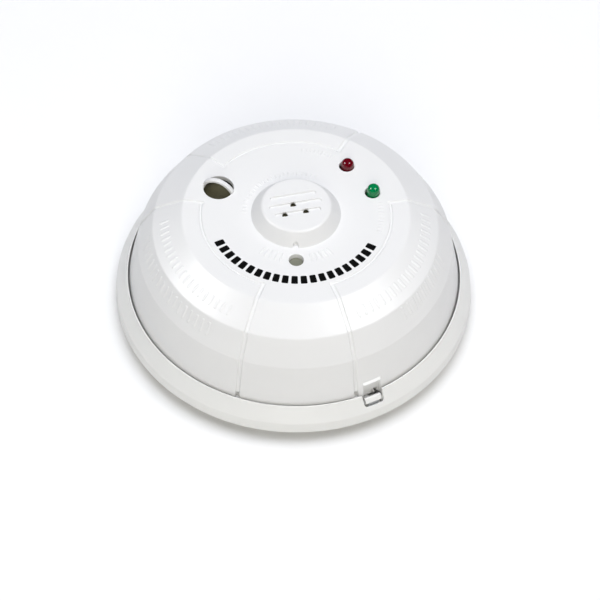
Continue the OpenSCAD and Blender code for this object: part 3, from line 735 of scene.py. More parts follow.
def groove_lines(sheet):
    """Lines along the grooves and their drains"""
    for start in PANEL_STARTS:
        for offset in (-0.85, -0.6, -0.38, -0.15, 0.15, 0.38, 0.6, 0.85):
            sheet.line(polar(GROOVE_R + offset, np.linspace(start, start + PANEL_ANGLE, 40)))
    low = COVER.from_height(DRAIN_Z[0] - 0.4)
    for angle in LEG_ANGLES:
        for offset in (-1.15, -0.9, -0.65, -0.45, 0, 0.45, 0.65, 0.9, 1.15):
            flat = np.r_[GROOVE_R - 1.1, np.arange(GROOVE_R - 0.6, low, 1.0), low]
            sheet.line(COVER.beside(flat, angle, offset))
        rims = np.array([0.15, -0.05, -0.3])
        for z in np.r_[DRAIN_Z[1] + rims, DRAIN_Z[0] - rims]:
            flat = COVER.from_height(z)
            width = np.degrees(1.2 / COVER.at(flat)[0])
            sheet.line(polar(flat, np.linspace(angle - width, angle + width, 7)))


def boss_lines(sheet):
    """Lines round the sunk lines, the gas holes and the notch in the raised centre"""
    for place, half_run in LINES:
        for grow in (0.14, 0.0, -0.14, -0.32):
            along, across = capsule_points(half_run, LINE_HALF_W + grow, 11)
            sheet.line(turned(np.stack([along + LINE_SHIFT, across + place], 1), LINE_TILT), closed=True)
    for grow in (0.1, -0.05, -0.18, -0.32):
        arc = polar(BOSS_NOTCH_R + grow, np.linspace(180, 0, 13)) + (BOSS_NOTCH_X, BOSS_NOTCH_Y)
        sheet.line(np.vstack([arc[0] - (0, 1.6), arc, arc[-1] - (0, 1.6)]))


def hole_lines(sheet):
    """Lines round the holes in the face"""
    for centre, radius, fillet in FACE_HOLES:
        for grow in (0, 0.12, 0.35, 0.65, 1.0):
            sheet.line(ring_points(radius + grow * fillet, hole_count(radius), centre), closed=True)


def pocket_plan(profile, y, z):
    """Flattened places of points given across the pocket and by height"""
    y, z = np.broadcast_arrays(y, z)
    return profile.beside(profile.from_height(z), POCKET_ANGLE, y)


def tool_hole_path():
    """Outline of the tool hole, which is open at its foot: places across and heights"""
    y0, y1 = TOOL_HOLE_Y
    z0, z1 = TOOL_HOLE_Z
    across, up = np.linspace(y0, y1, 9), np.linspace(z0, z1, 7)
    return np.r_[np.full(6, y0), across, np.full(6, y1)], np.r_[up[:-1], np.full(9, z1), up[::-1][1:]]


def pocket_lines(sheet):
    """Lines round the pocket, its lip and the tool hole"""
    low, top = POCKET_Z
    for grow in (-0.3, -0.15, 0.0, 0.12):
        half = POCKET_HALF_W + grow
        for z in (low - grow, top + grow):
            sheet.line(pocket_plan(COVER, np.linspace(-half, half, 17), z))
        for y in (-half, half):
            sheet.line(pocket_plan(COVER, y, np.linspace(low - grow, top + grow, 14)))
    half = POCKET_HALF_W + 0.6
    for rise in (0.2, 0.3, 0.45, 0.6, 0.72, 0.8, 1.0):
        sheet.line(pocket_plan(COVER, np.linspace(-half, half, 19), top + rise))
    for grow in (0.03, 0.12, 0.22, 0.32, 0.4, 0.5):
        for y in (-POCKET_HALF_W - grow, POCKET_HALF_W + grow):
            sheet.line(pocket_plan(COVER, y, np.linspace(top + 0.2, top + 1, 4)))
    sheet.line(pocket_plan(COVER, *tool_hole_path()))


def skirt_path():
    """The lower edge of the cover, with the window that the lock tab's tooth runs in: angles and heights"""
    start, stop = WINDOW_ANGLES
    inside = np.linspace(start, stop, 13)
    outside = np.linspace(stop, start + 360, 180)
    up = np.linspace(SKIRT_Z, WINDOW_Z, 4)[1:-1]
    angles = np.r_[inside, [stop, stop], outside, [start, start]]
    heights = np.r_[np.full(13, WINDOW_Z), up[::-1], np.full(180, SKIRT_Z), up]
    return angles, heights


def above_skirt(profile, xy):
    """Whether places in the flattened plan lie above the cover's lower edge"""
    flat, theta = to_polar(xy)
    start, stop = WINDOW_ANGLES
    windowed = np.abs(angle_from(theta, (start + stop) / 2)) < math.radians((stop - start) / 2)
    return flat < profile.from_height(np.where(windowed, WINDOW_Z, SKIRT_Z))


def in_tool_hole(profile, xy):
    flat, theta = to_polar(xy)
    r, z, _, _ = profile.at(flat)
    turn = angle_from(theta, POCKET_ANGLE)
    y = r * np.sin(turn)
    return (y > TOOL_HOLE_Y[0]) & (y < TOOL_HOLE_Y[1]) & (np.cos(turn) > 0) & (z < TOOL_HOLE_Z[1])


def outside_circle(xy, centre, radius, count):
    """Whether points lie outside a circle that is drawn with count points"""
    return distance_to(xy, centre) > radius * math.cos(math.pi / count)


def cover_wanted(xy):
    keep = above_skirt(COVER, xy) & ~in_tool_hole(COVER, xy)
    for centre, radius, _ in FACE_HOLES:
        keep &= outside_circle(xy, centre, radius, hole_count(radius))
    return keep


def outer_cover_sheet():
    sheet = Sheet()
    angles, heights = skirt_path()
    sheet.line(polar(COVER.from_height(heights), angles), closed=True)
    for flat in COVER.flat[1:-1]:
        sheet.circle(flat, 2.0)
    for draw in (rib_loops, groove_lines, boss_lines, hole_lines, pocket_lines):
        draw(sheet)
    sheet.fill(0, COVER.flat[-1] - 1, 2.0)
    return sheet.triangles(cover_wanted)


def place_on_inside(points):
    """Flattened places on the inside of the cover for points of the plan"""
    r, theta = to_polar(points[:, :2])
    return polar(COVER_INSIDE.from_radius(r), np.degrees(theta))


def post_circle(angle, radius, z):
    """A ring of a screw post, in the order of a hole's edge"""
    ring = polar(radius, -np.arange(24) * 15) + polar(POST_PLACE_R, angle)
    return np.column_stack([ring, np.full(24, z)])


def hole_walls(k, centre, place):
    """Rings that carry the wall of a face hole down: the button's guide and the widening gas holes"""

    def ring(scale, z):
        return placed(*(centre + (place[:, :2] - centre) * scale).T, z, 0)

    if k == TEST_INDEX:
        return [ring(1, GUIDE_LOW), ring(1 + GUIDE_WALL / TEST_HOLE[2], GUIDE_LOW)]
    if k >= GAS_FIRST:
        low = place[:, 2] - GAS_LAND
        return [ring(1, low), ring(GAS_WIDE_R / GAS_HOLE_R, low)]
    return []


def inner_cover_sheet(paths, posts):
    """Triangles of the inside of the cover, open where walls and screw posts join it"""
    sheet = Sheet()
    for path in paths + posts:
        sheet.line(path, closed=True)
    for flat in COVER_INSIDE.flat[1:-1]:
        sheet.dots(flat, 3)
    for rise in (0.8, 1.3):
        half, top = POCKET_HALF_W + rise, POCKET_Z[1] + rise
        sheet.line(pocket_plan(COVER_INSIDE, np.linspace(-5.3, 5.3, 12), top))
        for y in (-half, half):
            sheet.line(pocket_plan(COVER_INSIDE, y, np.linspace(WINDOW_Z + 0.4, POCKET_Z[1] + 1.3, 8)))
    sheet.fill(0, COVER_INSIDE.flat[-1] - 1, 4.5, 1.2)

    def wanted(places):
        keep = above_skirt(COVER_INSIDE, places) & ~in_tool_hole(COVER_INSIDE, places)
        for path in paths[:-1] + posts:
            keep &= ~inside_loop(places, path)
        return keep

    return sheet.triangles(wanted)


def build_cover(material):
    """The cover as one closed shell, with its hole walls, screw posts and the button's guide"""
    xy, faces = outer_cover_sheet()
    shell = Shell()
    shell.add(cover_surface(xy), faces, surface_normals(cover_surface, xy))
    loops = boundary_loops(faces)
    joins = []
    for k, (centre, _, _) in enumerate(FACE_HOLES):
        ring = hole_loop(loops, xy, centre)
        place = shell.place(ring)
        walls = hole_walls(k, centre, place)
        joins.append((ring, walls, place_on_inside([place, *walls][-1])))
    ring = axis_loop(loops, xy, COVER.flat[-1])
    place = shell.place(ring)
    skirt = polar(COVER_INSIDE.from_height(place[:, 2]), np.degrees(to_polar(place)[1]))
    joins.append((ring, [], skirt))
    posts = [place_on_inside(post_circle(angle, POST_R, 0)) for angle in QUARTERS]
    inner_xy, inner_faces = inner_cover_sheet([path for _, _, path in joins], posts)
    inside = shell.add(cover_inside(inner_xy), inner_faces, flip=True)
    for ring, walls, path in joins:
        shell.chain(ring, walls, matching(path, inner_xy, inside))
    for angle, path in zip(QUARTERS, posts):
        steps = ((POST_R, POST_LOW), (SCREW_HOLE_R, POST_LOW), (SCREW_HOLE_R, SCREW_HOLE_TOP))
        rings = [post_circle(angle, *step)[::-1] for step in steps]
        shell.chain(matching(path, inner_xy, inside)[::-1], rings)
    add_hoop(shell)
    add_pocket_rib(shell)
    return make_object("cover_shell", shell, material)


def inside_loop(places, path):
    """Whether places lie inside a small closed outline"""
    inside = distance_to(places, path.mean(axis=0)) < 12
    x, y = places[inside].T
    hit = np.zeros(len(x), bool)
    for (x0, y0), (x1, y1) in zip(path, np.roll(path, -1, axis=0)):
        crosses = (y0 > y) != (y1 > y)
        at = x0 + (y - y0) * (x1 - x0) / np.where(crosses, y1 - y0, 1)
        hit ^= crosses & (x < at)
    inside[inside] = hit
    return inside


def rounded_section(half_u, half_v, radius, steps=4):
    """Points of a rounded rectangle"""
    points = []
    for k, side in enumerate([(1, 1), (-1, 1), (-1, -1), (1, -1)]):
        corner = np.array(side) * (half_u - radius, half_v - radius)
        points += list(corner + polar(radius, 90 * k + np.linspace(0, 90, steps + 1)))
    return np.array(points)


def add_hoop(shell):
    """Hoop that bridges the sounder port"""
    section = rounded_section(*HOOP_SECTION)
    reach = HOOP_R + section[:, 1]
    rings = []
    for angle in np.radians(np.linspace(7, 173, 49)):
        along = PORT[0] + reach * math.cos(angle)
        rings.append(placed(along, section[:, 0], FACE_Z - HOOP_DROP + reach * math.sin(angle), PORT[1]))
    shell.loft(rings)


def add_pocket_rib(shell):
    """Slanted rib across the tool hole"""
    section = rounded_section(0.45, 0.4, 0.15, 2)
    rings = []
    for shift, z in ((0, TOOL_HOLE_Z[1] + 0.5), (1, WINDOW_Z + 0.1)):
        y = TOOL_HOLE_Y[0] + shift + section[:, 1]
        rings.append(placed(POCKET_X - 0.05 + section[:, 0], y, z, POCKET_ANGLE))
    shell.loft(rings)


# ---------- the wall ring ----------


def base_wanted(xy):
    keep = outside_circle(xy, (0, 0), ENTRY_R, 120)
    for angle in QUARTERS:
        keep &= slot_distance(xy, angle) > -0.004
    return keep


def slot_path(angle, grow):
    along, across = capsule_points(SLOT_HALF_RUN, SLOT_R + grow, 13)
    return turned(np.stack([SLOT_PLACE_R + along, across], 1), angle)


def notch_lines(sheet):
    """Lines across the rim at the lock tab's notch"""
    low, high = BASE.from_height_inside(NOTCH_Z - NOTCH_BACK_DROP - 0.5), BASE.from_height(NOTCH_Z - 1)
    steep = NOTCH_HALF + NOTCH_WALL * np.array([0, 0.5, 1])
    rounding = NOTCH_HALF + NOTCH_WALL + NOTCH_EDGE * np.array([0.15, 0.35, 0.65, 1, 1.5])
    inside = NOTCH_HALF - NOTCH_ROUND * np.array([0.06, 0.2, 0.4, 0.5, 0.75, 1.05])
    places = np.r_[inside, steep, rounding, np.linspace(0.7, 2.8, 4)]
    flat = np.linspace(low, high, 34)
    for y in np.r_[-places, places]:
        sheet.line(BASE.beside(flat, TAB_ANGLE, y))


def base_top_sheet():
    """Triangles of the wall ring from the wire entry over the rim to the foot"""
    sheet = Sheet()
    sheet.line(ring_points(ENTRY_R, 120), closed=True)
    sheet.line(ring_points(BASE.flat[-1], 240), closed=True)
    for flat in BASE.flat[1:-1]:
        sheet.circle(flat, 2.0)
    for angle in QUARTERS:
        for share in (0, 0.2, 0.48, 1):
            sheet.line(slot_path(angle, share * SLOT_FILLET), closed=True)
    notch_lines(sheet)
    sheet.fill(ENTRY_R + 1, BASE.flat[-1] - 1, 2.6)
    return sheet.triangles(base_wanted)


def build_base(material):
    """The wall ring as one closed shell, with the hooks and the ears of the lock tab"""
    xy, faces = base_top_sheet()
    shell = Shell()
    shell.add(base_surface(xy), faces, surface_normals(base_surface, xy))
    loops = boundary_loops(faces)
    foot, entry = (axis_loop(loops, xy, radius) for radius in (BASE.flat[-1], ENTRY_R))
    slots = [hole_loop(loops, xy, polar(SLOT_PLACE_R, angle)) for angle in QUARTERS]
    back = Sheet()
    for ring in (foot, entry, *slots):
        back.line(shell.place(ring)[:, :2], closed=True)
    back.fill(ENTRY_R + 1, RING_END_R - 1, 5, 1.5)
    back_xy, back_faces = back.triangles(base_wanted)
    known = zip(matching(shell.place(foot)[:, :2], back_xy), foot)
    back_points = np.column_stack([back_xy, np.zeros(len(back_xy))])
    back_ring = shell.add(back_points, back_faces, flip=True, known=known)
    for ring in (entry, *slots):
        shell.chain(ring, [], matching(shell.place(ring)[:, :2], back_xy, back_ring))
    for quarter in QUARTERS:
        add_hook(shell, quarter + 45)
    for side in (-1, 1):
        add_ear(shell, side)
    return make_object("wall_ring", shell, material)


def add_sector(shell, start, stop, outline, steps=10):
    """A closed part of a turned ring"""
    r, z = np.array(outline[::-1]).T
    shell.loft([placed(r, 0, z, angle) for angle in np.linspace(start, stop, steps + 1)])


def add_hook(shell, angle):
    """Raised hook that a foot of the head slides under, and its end stop"""
    inner, wall, outer = HOOK_R
    low, under, top = HOOK_Z
    hook = [(wall, low), (outer, low), (outer, top), (inner, top), (inner, under), (wall, under)]
    stop = [(inner, low), (outer, low), (outer, top), (inner, top)]
    add_sector(shell, angle + HOOK_SPAN[0], angle + HOOK_SPAN[1], hook)
    add_sector(shell, angle + STOP_SPAN[0], angle + STOP_SPAN[1], stop, 2)


def add_ear(shell, side):
    """Ear that holds one end of the lock tab's pin"""
    outline = [(EAR_X[i], EAR_Z[j]) for i, j in ((0, 0), (1, 0), (1, 1), (0, 1))]
    middle = TAB_Y + side * (TAB_W + EAR_T + 2 * EAR_GAP) / 2
    add_plate(shell, *pierced(np.array(outline), PIN_R + 0.01, 20), middle, EAR_T)


def pierced(outline, radius, count):
    """Points and triangles of an outline with a hole for the lock tab's pin"""
    sheet = Sheet()
    sheet.line(outline, closed=True)
    sheet.line(ring_points(radius, count, PIVOT), closed=True)
    return sheet.triangles(lambda p: inside_loop(p, outline) & outside_circle(p, PIVOT, radius, count))


def add_plate(shell, xz, faces, middle, thickness):
    """A flat shape in the lock tab's radial plane, given thickness along the tangent"""
    x, z = np.array(xz).T
    near = shell.add(placed(x, middle - thickness / 2, z, TAB_ANGLE), faces)
    far = shell.add(placed(x, middle + thickness / 2, z, TAB_ANGLE), faces, flip=True)
    for loop in boundary_loops(np.array(faces)):
        shell.bridge([near[i] for i in loop], [far[i] for i in loop])


# ---------- lock tab, lamps, button, print ----------


def tab_outline():
    """Side view of the lock tab: barrel, stem and head, whose face continues the slope of the rim"""
    stem_in, stem_out = STEM_X
    low, top = HEAD_Z
    slope = (RIM_TOP_R - RIM_FOOT[0]) / (RING_H - RIM_FOOT[1])
    head_x = [RIM_FOOT[0] + (z - RIM_FOOT[1]) * slope for z in HEAD_Z]
    start = -180 - math.degrees(math.acos((PIVOT[0] - stem_in) / BARREL_R))
    stop = math.degrees(math.acos((stem_out - PIVOT[0]) / BARREL_R))
    arc = polar(BARREL_R, np.linspace(start, stop, 25)) + PIVOT
    corners = [(*arc[-1], 0), (stem_out, low, 0.3), (head_x[0], low, 0.6), (head_x[1], top, 0.4)]
    corners += [(head_x[1] - HEAD_LEDGE, top, 0.2), (stem_in, top - 1.2, 0.2), (*arc[0], 0)]
    return np.vstack([arc[:-1], rounded_outline(corners, 6)[0][:-1]])


def build_tab(material):
    """The lock tab with its tooth"""
    shell = Shell()
    add_plate(shell, *pierced(tab_outline(), PIN_R + 0.05, 24), TAB_Y, TAB_W)
    root, tip = STEM_X[0] + 0.5, SKIRT_R - WALL_T
    low, tip_top, root_top = TOOTH_Z
    tooth = [(root, low), (root, root_top), (tip, tip_top), (tip, low)]
    add_plate(shell, tooth, [(0, 1, 2), (0, 2, 3)], TAB_Y + TOOTH_Y, 2 * TOOTH_HALF_W)
    tab = make_object("lock_tab_piece", shell, material)
    soften(tab)
    return tab


def soften(piece):
    """Rounds the sharp edges of a clean mesh"""
    bm = bmesh.new()
    bm.from_mesh(piece.data)
    bmesh.ops.dissolve_limit(bm, angle_limit=0.002, verts=bm.verts, edges=bm.edges)
    bmesh.ops.recalc_face_normals(bm, faces=bm.faces)
    sharp = [e for e in bm.edges if len(e.link_faces) == 2 and e.calc_face_angle(0) > 0.7]
    how = dict(segments=3, profile=0.5, affect="EDGES", clamp_overlap=True)
    bmesh.ops.bevel(bm, geom=sharp, offset=TAB_BEVEL * MM, **how)
    bm.to_mesh(piece.data)
    bm.free()
    piece.data.polygons.foreach_set("use_smooth", [True] * len(piece.data.polygons))
    piece.data.set_sharp_from_angle(angle=math.radians(50))
    piece.modifiers.new("even_normals", "WEIGHTED_NORMAL").keep_sharp = True


def build_turned(name, corners, centre, material, count=72, steps=10):
    """A solid turned about an upright axis"""
    points = rounded_outline(corners, steps)[0]
    points = points[points[:, 0] > 1e-6]
    points = points[np.r_[True, np.hypot(*np.diff(points, axis=0).T) > 1e-4]]
    shell = Shell()
    rings = [shell.add(placed(*ring_points(r, count, centre).T, z, 0)) for r, z in points]
    for lower, upper in zip(rings, rings[1:]):
        shell.bridge(upper, lower)
    bottom, top = shell.add([(*centre, corners[i][1]) for i in (0, -1)])
    for i in range(count):
        j = (i + 1) % count
        shell.faces += [(rings[0][i], bottom, rings[0][j]), (rings[-1][i], rings[-1][j], top)]
    return make_object(name, shell, material, sharp=40)


def upright_piece(node):
    """Foot height, top height, centre and radius of an upright round CAD node"""
    low, high = cad_box_mm(node)
    return low[2], high[2], (low + high)[:2] / 2, (high - low)[0] / 2


def build_lamp(node, material):
    """A domed signal lamp with its flange"""
    low, high, centre, flange = upright_piece(node)
    radius = flange - 0.4
    foot = radius + 0.15
    corners = [(0, low, 0), (flange, low, 0.1), (flange, low + 1, 0.2), (foot, low + 1, 0.1)]
    corners += [(radius, high, radius - 0.16), (0, high, 0)]
    return build_turned(node + "_piece", corners, centre, material, steps=14)


def build_button(material):
    """The test button: shaft, flange and a slightly dished top"""
    low, high, centre, flange = upright_piece("test_button")
    top = GUIDE_LOW - 0.3
    button_r = TEST_HOLE[2] - 0.08
    corners = [(0, low, 0), (2, low, 0.3), (2, top - 1.1, 0.1), (flange, top - 1.1, 0.2)]
    corners += [(flange, top, 0.2), (button_r, top, 0.1), (button_r, high, 0.55)]
    corners += [(1.9, high - 0.03, 0.5), (0, high - 0.18, 0)]
    return build_turned("test_button_piece", corners, centre, material)


def build_print(material):
    """Row of plain printed dashes on the face"""
    shell = Shell()
    across, out = rounded_section(*PRINT_HALF, PRINT_ROUND)[::-1].T
    for angle in np.linspace(*PRINT_ANGLES, PRINT_COUNT):
        plan = polar(PRINT_R + out, angle + np.degrees(across / PRINT_R))
        shell.loft([placed(*plan.T, FACE_Z + rise, 0) for rise in (PRINT_T, -PRINT_T)])
    return make_object("print_dashes", shell, material)


# ---------- materials ----------


def new_material(name):
    material = bpy.data.materials.new(name)
    material.use_nodes = True
    return material, material.node_tree


def feed(tree, node, inputs):
    """Sets a node's inputs by name: sockets are linked, values are set"""
    for key, value in inputs.items():
        if isinstance(value, bpy.types.NodeSocket):
            tree.links.new(value, node.inputs[key])
        else:
            node.inputs[key].default_value = value


def add_node(tree, kind, output, inputs, **settings):
    """Adds a node and returns one of its outputs"""
    node = tree.nodes.new(kind)
    for key, value in settings.items():
        setattr(node, key, value)
    feed(tree, node, inputs)
    return node.outputs[output]


def object_space(tree):
    return add_node(tree, "ShaderNodeTexCoord", "Object", {})


def noise(tree, scale, detail=3, roughness=0.55):
    """Fractal noise in the object's own space; scale is in cycles per metre"""
    inputs = {"Vector": object_space(tree), "Scale": scale, "Detail": detail, "Roughness": roughness}
    return add_node(tree, "ShaderNodeTexNoise", "Fac", inputs)


def spread(tree, source, low, high, start=0.3, stop=0.7):
    """A value mapped to the range low to high"""
    inputs = {"Value": source, "From Min": start, "From Max": stop, "To Min": low, "To Max": high}
    return add_node(tree, "ShaderNodeMapRange", "Result", inputs)


def tint(tree, factor, first, second):
    """A colour between two colours; the first may be another node's"""
    start = first if isinstance(first, bpy.types.NodeSocket) else (*first, 1)
    inputs = {"Factor": factor, "A": start, "B": (*second, 1)}
    return add_node(tree, "ShaderNodeMix", "Result", inputs, data_type="RGBA")


def bump(tree, height, distance, strength=1, under=None):
    """Relief of a height pattern, over another relief if one is given"""
    inputs = {"Height": height, "Distance": distance, "Strength": strength}
    if under is not None:
        inputs["Normal"] = under
    return add_node(tree, "ShaderNodeBump", "Normal", inputs)


def dress(tree, pattern, colours, rough, relief=None, tone=None, others=None):
    """Lets roughness and relief follow a pattern, and colour follow it or a tone of its own"""
    inputs = dict(others or {})
    inputs["Base Color"] = tint(tree, pattern if tone is None else tone, *colours)
    inputs["Roughness"] = spread(tree, pattern, *rough)
    if relief is not None:
        inputs["Normal"] = bump(tree, pattern, *relief)
    feed(tree, tree.nodes["Principled BSDF"], inputs)


def scaled(colour, factor):
    return tuple(min(1.0, c * factor) for c in colour)


def moulded(name, colour, rough=(0.32, 0.42), worn=1.02, grain=0.00002, grain_scale=2600):
    """Moulded plastic: fine grain, slow changes of tone, edges rubbed lighter"""
    material, tree = new_material(name)
    smudge = noise(tree, 130, 4)
    tone = spread(tree, noise(tree, 22), 0, 1, 0.35, 0.65)
    body = tint(tree, tone, scaled(colour, 0.99), scaled(colour, 1.006))
    edge = spread(tree, add_node(tree, "ShaderNodeNewGeometry", "Pointiness", {}), 0, 0.5, 0.53, 0.62)
    inputs = {
        "Base Color": tint(tree, edge, body, scaled(colour, worn)),
        "Roughness": spread(tree, smudge, *rough),
        "Normal": bump(tree, noise(tree, grain_scale, 2), grain, 1, bump(tree, smudge, 0.00003, 0.5)),
    }
    feed(tree, tree.nodes["Principled BSDF"], inputs)
    return material


def metal(name, colour, rough=(0.25, 0.42), streak=900):
    """Plated metal with drawn streaks and dull spots"""
    material, tree = new_material(name)
    colours = scaled(colour, 0.9), scaled(colour, 1.05)
    dress(tree, noise(tree, streak, 4), colours, rough, (0.00001, 0.6), noise(tree, 90), {"Metallic": 1})
    return material


def lens(name, colour, deep, clear=0.15):
    """Tinted clear plastic of a signal lamp"""
    material, tree = new_material(name)
    others = {"IOR": 1.5, "Transmission Weight": clear}
    dress(tree, noise(tree, 700, 2), (deep, colour), (0.04, 0.09), (0.000004, 0.3), others=others)
    return material


def cloth(name, colour):
    """Fine woven screen"""
    material, tree = new_material(name)
    inputs = {"Vector": object_space(tree), "Scale": 1100, "Distortion": 0.3}
    waves = [add_node(tree, "ShaderNodeTexWave", "Fac", inputs, bands_direction=axis) for axis in "XY"]
    weave = add_node(tree, "ShaderNodeMath", "Value", {0: waves[0], 1: waves[1]}, operation="MAXIMUM")
    dress(tree, weave, (scaled(colour, 0.35), scaled(colour, 1.3)), (0.9, 0.7), (0.00008, 1))
    return material


def foam(name, colour):
    """Closed-cell foam"""
    material, tree = new_material(name)
    cells = add_node(tree, "ShaderNodeTexVoronoi", "Distance", {"Vector": object_space(tree), "Scale": 1500})
    dress(tree, cells, (scaled(colour, 0.6), scaled(colour, 1.5)), (0.95, 0.8, 0, 1), (0.00015, 0.8))
    return material


def paper(name, colour):
    """Coated label stock"""
    material, tree = new_material(name)
    dress(tree, noise(tree, 1800, 5, 0.7), (scaled(colour, 0.97), colour), (0.45, 0.6), (0.00001, 0.6))
    return material


def make_materials():
    """One procedural material for each slot of the record"""
    recipes = {
        "base_plastic": (moulded, (0.8, 0.8, 0.785)),
        "cover_plastic": (moulded, (0.8, 0.8, 0.8)),
        "housing_plastic": (moulded, (0.8, 0.8, 0.77), (0.4, 0.5)),
        "grey_plastic": (moulded, (0.4, 0.41, 0.42)),
        "black_plastic": (moulded, (0.02, 0.02, 0.022), (0.35, 0.5), 1.6),
        "white_plastic": (moulded, (0.84, 0.84, 0.825)),
        # Painted shade: the test button's dark olive-grey colour stands in for the shade inside its recess
        "button_plastic": (moulded, (0.185, 0.19, 0.145), (0.4, 0.5)),
        "steel": (metal, (0.62, 0.63, 0.64)),
        "foam": (foam, (0.03, 0.03, 0.03)),
        "label_paper": (paper, (0.8, 0.81, 0.82)),
        "plated_brass": (metal, (0.83, 0.63, 0.3)),
        "board_laminate": (moulded, (0.02, 0.16, 0.07), (0.2, 0.3), 1.02, 0.00001, 1200),
        "mesh_cloth": (cloth, (0.075, 0.068, 0.035)),
        "ceramic": (moulded, (0.83, 0.8, 0.74), (0.5, 0.6)),
        "red_lens": (lens, (0.17, 0.001, 0.009), (0.12, 0.001, 0.006)),
        "green_lens": (lens, (0, 0.27, 0.08), (0, 0.2, 0.06)),
        "core_steel": (metal, (0.32, 0.32, 0.33), (0.4, 0.55), 2400),
        "winding_tape": (moulded, (0.75, 0.6, 0.1), (0.25, 0.35)),
        "capacitor_sleeve": (moulded, (0.03, 0.035, 0.05), (0.2, 0.3), 1.3),
        "yellow_plastic": (moulded, (0.8, 0.55, 0.08)),
        "blue_epoxy": (moulded, (0.05, 0.12, 0.4), (0.2, 0.3), 1.02, 0.00005, 900),
        "fuse_glass": (lens, (0.8, 0.85, 0.82), (0.7, 0.78, 0.75), 0.9),
        "ferrite": (moulded, (0.06, 0.06, 0.065), (0.5, 0.65), 1.4, 0.00004, 1800),
        "resistor_lacquer": (moulded, (0.55, 0.42, 0.26), (0.25, 0.4), 1.02, 0.00003, 1500),
    }
    return {name: make(name, *values) for name, (make, *values) in recipes.items()}


def ink(name):
    """Pad-printed black ink"""
    material, tree = new_material(name)
    colours = (0.002, 0.002, 0.002), (0.004, 0.004, 0.004)
    others = {"Specular IOR Level": 0.15}
    dress(tree, noise(tree, 4000), colours, (0.35, 0.5), (0.00001, 0.6), others=others)
    return material


def floor_material():
    material, tree = new_material("studio_floor")
    colours = (0.91, 0.91, 0.91), (0.92, 0.92, 0.92)
    dress(tree, noise(tree, 60), colours, (0.8, 0.9), others={"Specular IOR Level": 0.1})
    return material


# ---------- stage, lights, camera ----------

FLOOR_DROP = 7
# Camera: degrees above the floor, metres from the origin, small turns in degrees and lens for a 36 mm sensor
CAMERA_ELEVATION = 51.755
CAMERA_DISTANCE = 0.94094
CAMERA_TURNS = (-1.857, 0.1834, 0.3652)
CAMERA_LENS = 127.5204
WORLD_STRENGTH = 0.02
LIGHT_TARGET = Vector((0, 0, 0.03))
# Name, direction round the object and up in degrees, distance and size in metres, watts, colour
LIGHTS = [
    ("soft_box_top", (90, 86), 2.4, 2.6, 68, (0.93, 0.95, 1)),
    ("soft_box_front", (-90, 34), 2, 1.2, 15.5, (1, 0.97, 0.87)),
    ("soft_box_right", (0, 50), 1.6, 0.8, 2, (1, 0.93, 0.9)),
    ("sparkle_left", (185, 43), 1.6, 0.6, 14, (1, 1, 1)),
    ("sparkle_right", (-22, 57), 1.6, 0.6, 14, (1, 1, 1)),
]


def build_floor():
    """Plain pale floor"""
    half, steps = 3000, 12
    line = np.linspace(-half, half, steps + 1)
    side = steps + 1
    corners = [j * side + i for j in range(steps) for i in range(steps)]
    shell = Shell()
    faces = [(a, a + 1, a + side + 1, a + side) for a in corners]
    shell.add([(x, y, -FLOOR_DROP) for y in line for x in line], faces)
    make_object("studio_floor_plane", shell, floor_material())


def area_light(name, direction, distance, size, power, colour):
    """A round soft light; only a sparkle shows in reflections, and it shows nowhere else"""
    data = bpy.data.lights.new(name, "AREA")
    data.shape = "DISK"
    data.size = size
    data.energy = power
    data.color = colour
    light = bpy.data.objects.new(name, data)
    light.location = LIGHT_TARGET + direction * distance
    light.visible_glossy = name.startswith("sparkle")
    light.visible_diffuse = not light.visible_glossy
    light.rotation_euler = (LIGHT_TARGET - light.location).to_track_quat("-Z", "Y").to_euler()
    bpy.context.scene.collection.objects.link(light)


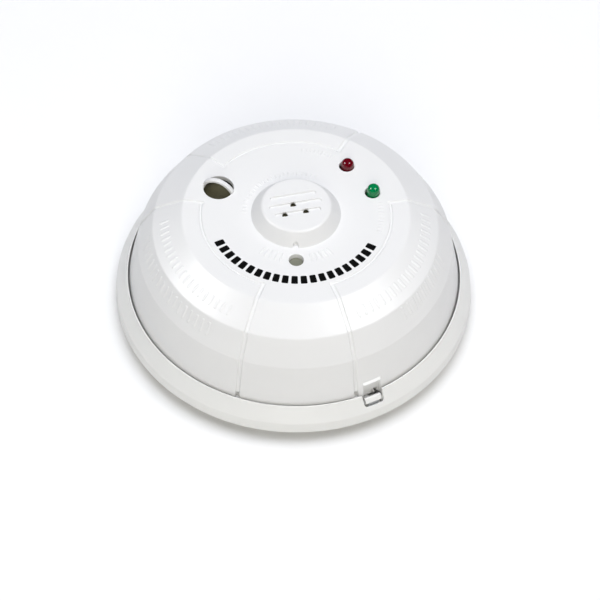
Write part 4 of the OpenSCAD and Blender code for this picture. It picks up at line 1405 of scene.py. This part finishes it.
def build_lights():
    """Soft studio light from above, the front and the right, and two lights for the lamps' highlights"""
    world = bpy.data.worlds.new("studio")
    world.use_nodes = True
    tree = world.node_tree
    feed(tree, tree.nodes["Background"], {"Color": (1, 1, 1, 1), "Strength": WORLD_STRENGTH})
    bpy.context.scene.world = world
    for name, (around, up), *values in LIGHTS:
        level, rise = polar(1, up)
        area_light(name, Vector((*polar(level, around), rise)), *values)


def build_camera():
    """The camera at the photograph's angle"""
    elevation = math.radians(CAMERA_ELEVATION)
    roll, swing, tip = (math.radians(a) for a in CAMERA_TURNS)
    back = Vector((0, -math.cos(elevation), math.sin(elevation)))
    up = Vector((0, math.sin(elevation), math.cos(elevation)))
    upright = Matrix((Vector((1, 0, 0)), up, back))
    turn = Matrix.Rotation(roll, 3, "Z") @ Matrix.Rotation(tip, 3, "X") @ Matrix.Rotation(swing, 3, "Y")
    data = bpy.data.cameras.new("camera")
    data.sensor_width = 36
    data.lens = CAMERA_LENS
    data.clip_start = 0.05
    data.clip_end = 20
    camera = bpy.data.objects.new("camera", data)
    axes = (turn @ upright).transposed()
    camera.matrix_world = Matrix.Translation(back * CAMERA_DISTANCE) @ axes.to_4x4()
    bpy.context.scene.collection.objects.link(camera)
    bpy.context.scene.camera = camera


# ---------- the whole scene ----------


def paint_nodes(materials):
    """Gives each CAD node the material of its slot"""
    for part in frame["record"]["subparts"]:
        node = frame["nodes"][part["node"]]
        node.data.materials.clear()
        node.data.materials.append(materials[part["material_slot"]])


def build_object():
    materials = make_materials()
    paint_nodes(materials)
    stand_ins = [
        (build_cover, "front_cover", "head", "cover_plastic"),
        (build_base, "mounting_base", "base", "base_plastic"),
        (build_tab, "lock_tab", "lock_tab", "white_plastic"),
        (build_button, "test_button", "test_button", "button_plastic"),
        (partial(build_lamp, "red_lamp"), "red_lamp", "head", "red_lens"),
        (partial(build_lamp, "green_lamp"), "green_lamp", "head", "green_lens"),
    ]
    for build, node, body, slot in stand_ins:
        piece = build(materials[slot])
        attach(piece, body)
        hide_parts(node)
    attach(build_print(ink("print_ink")), "head")


build_object()
build_floor()
build_lights()
build_camera()
bpy.context.scene.view_settings.view_transform = "Standard"
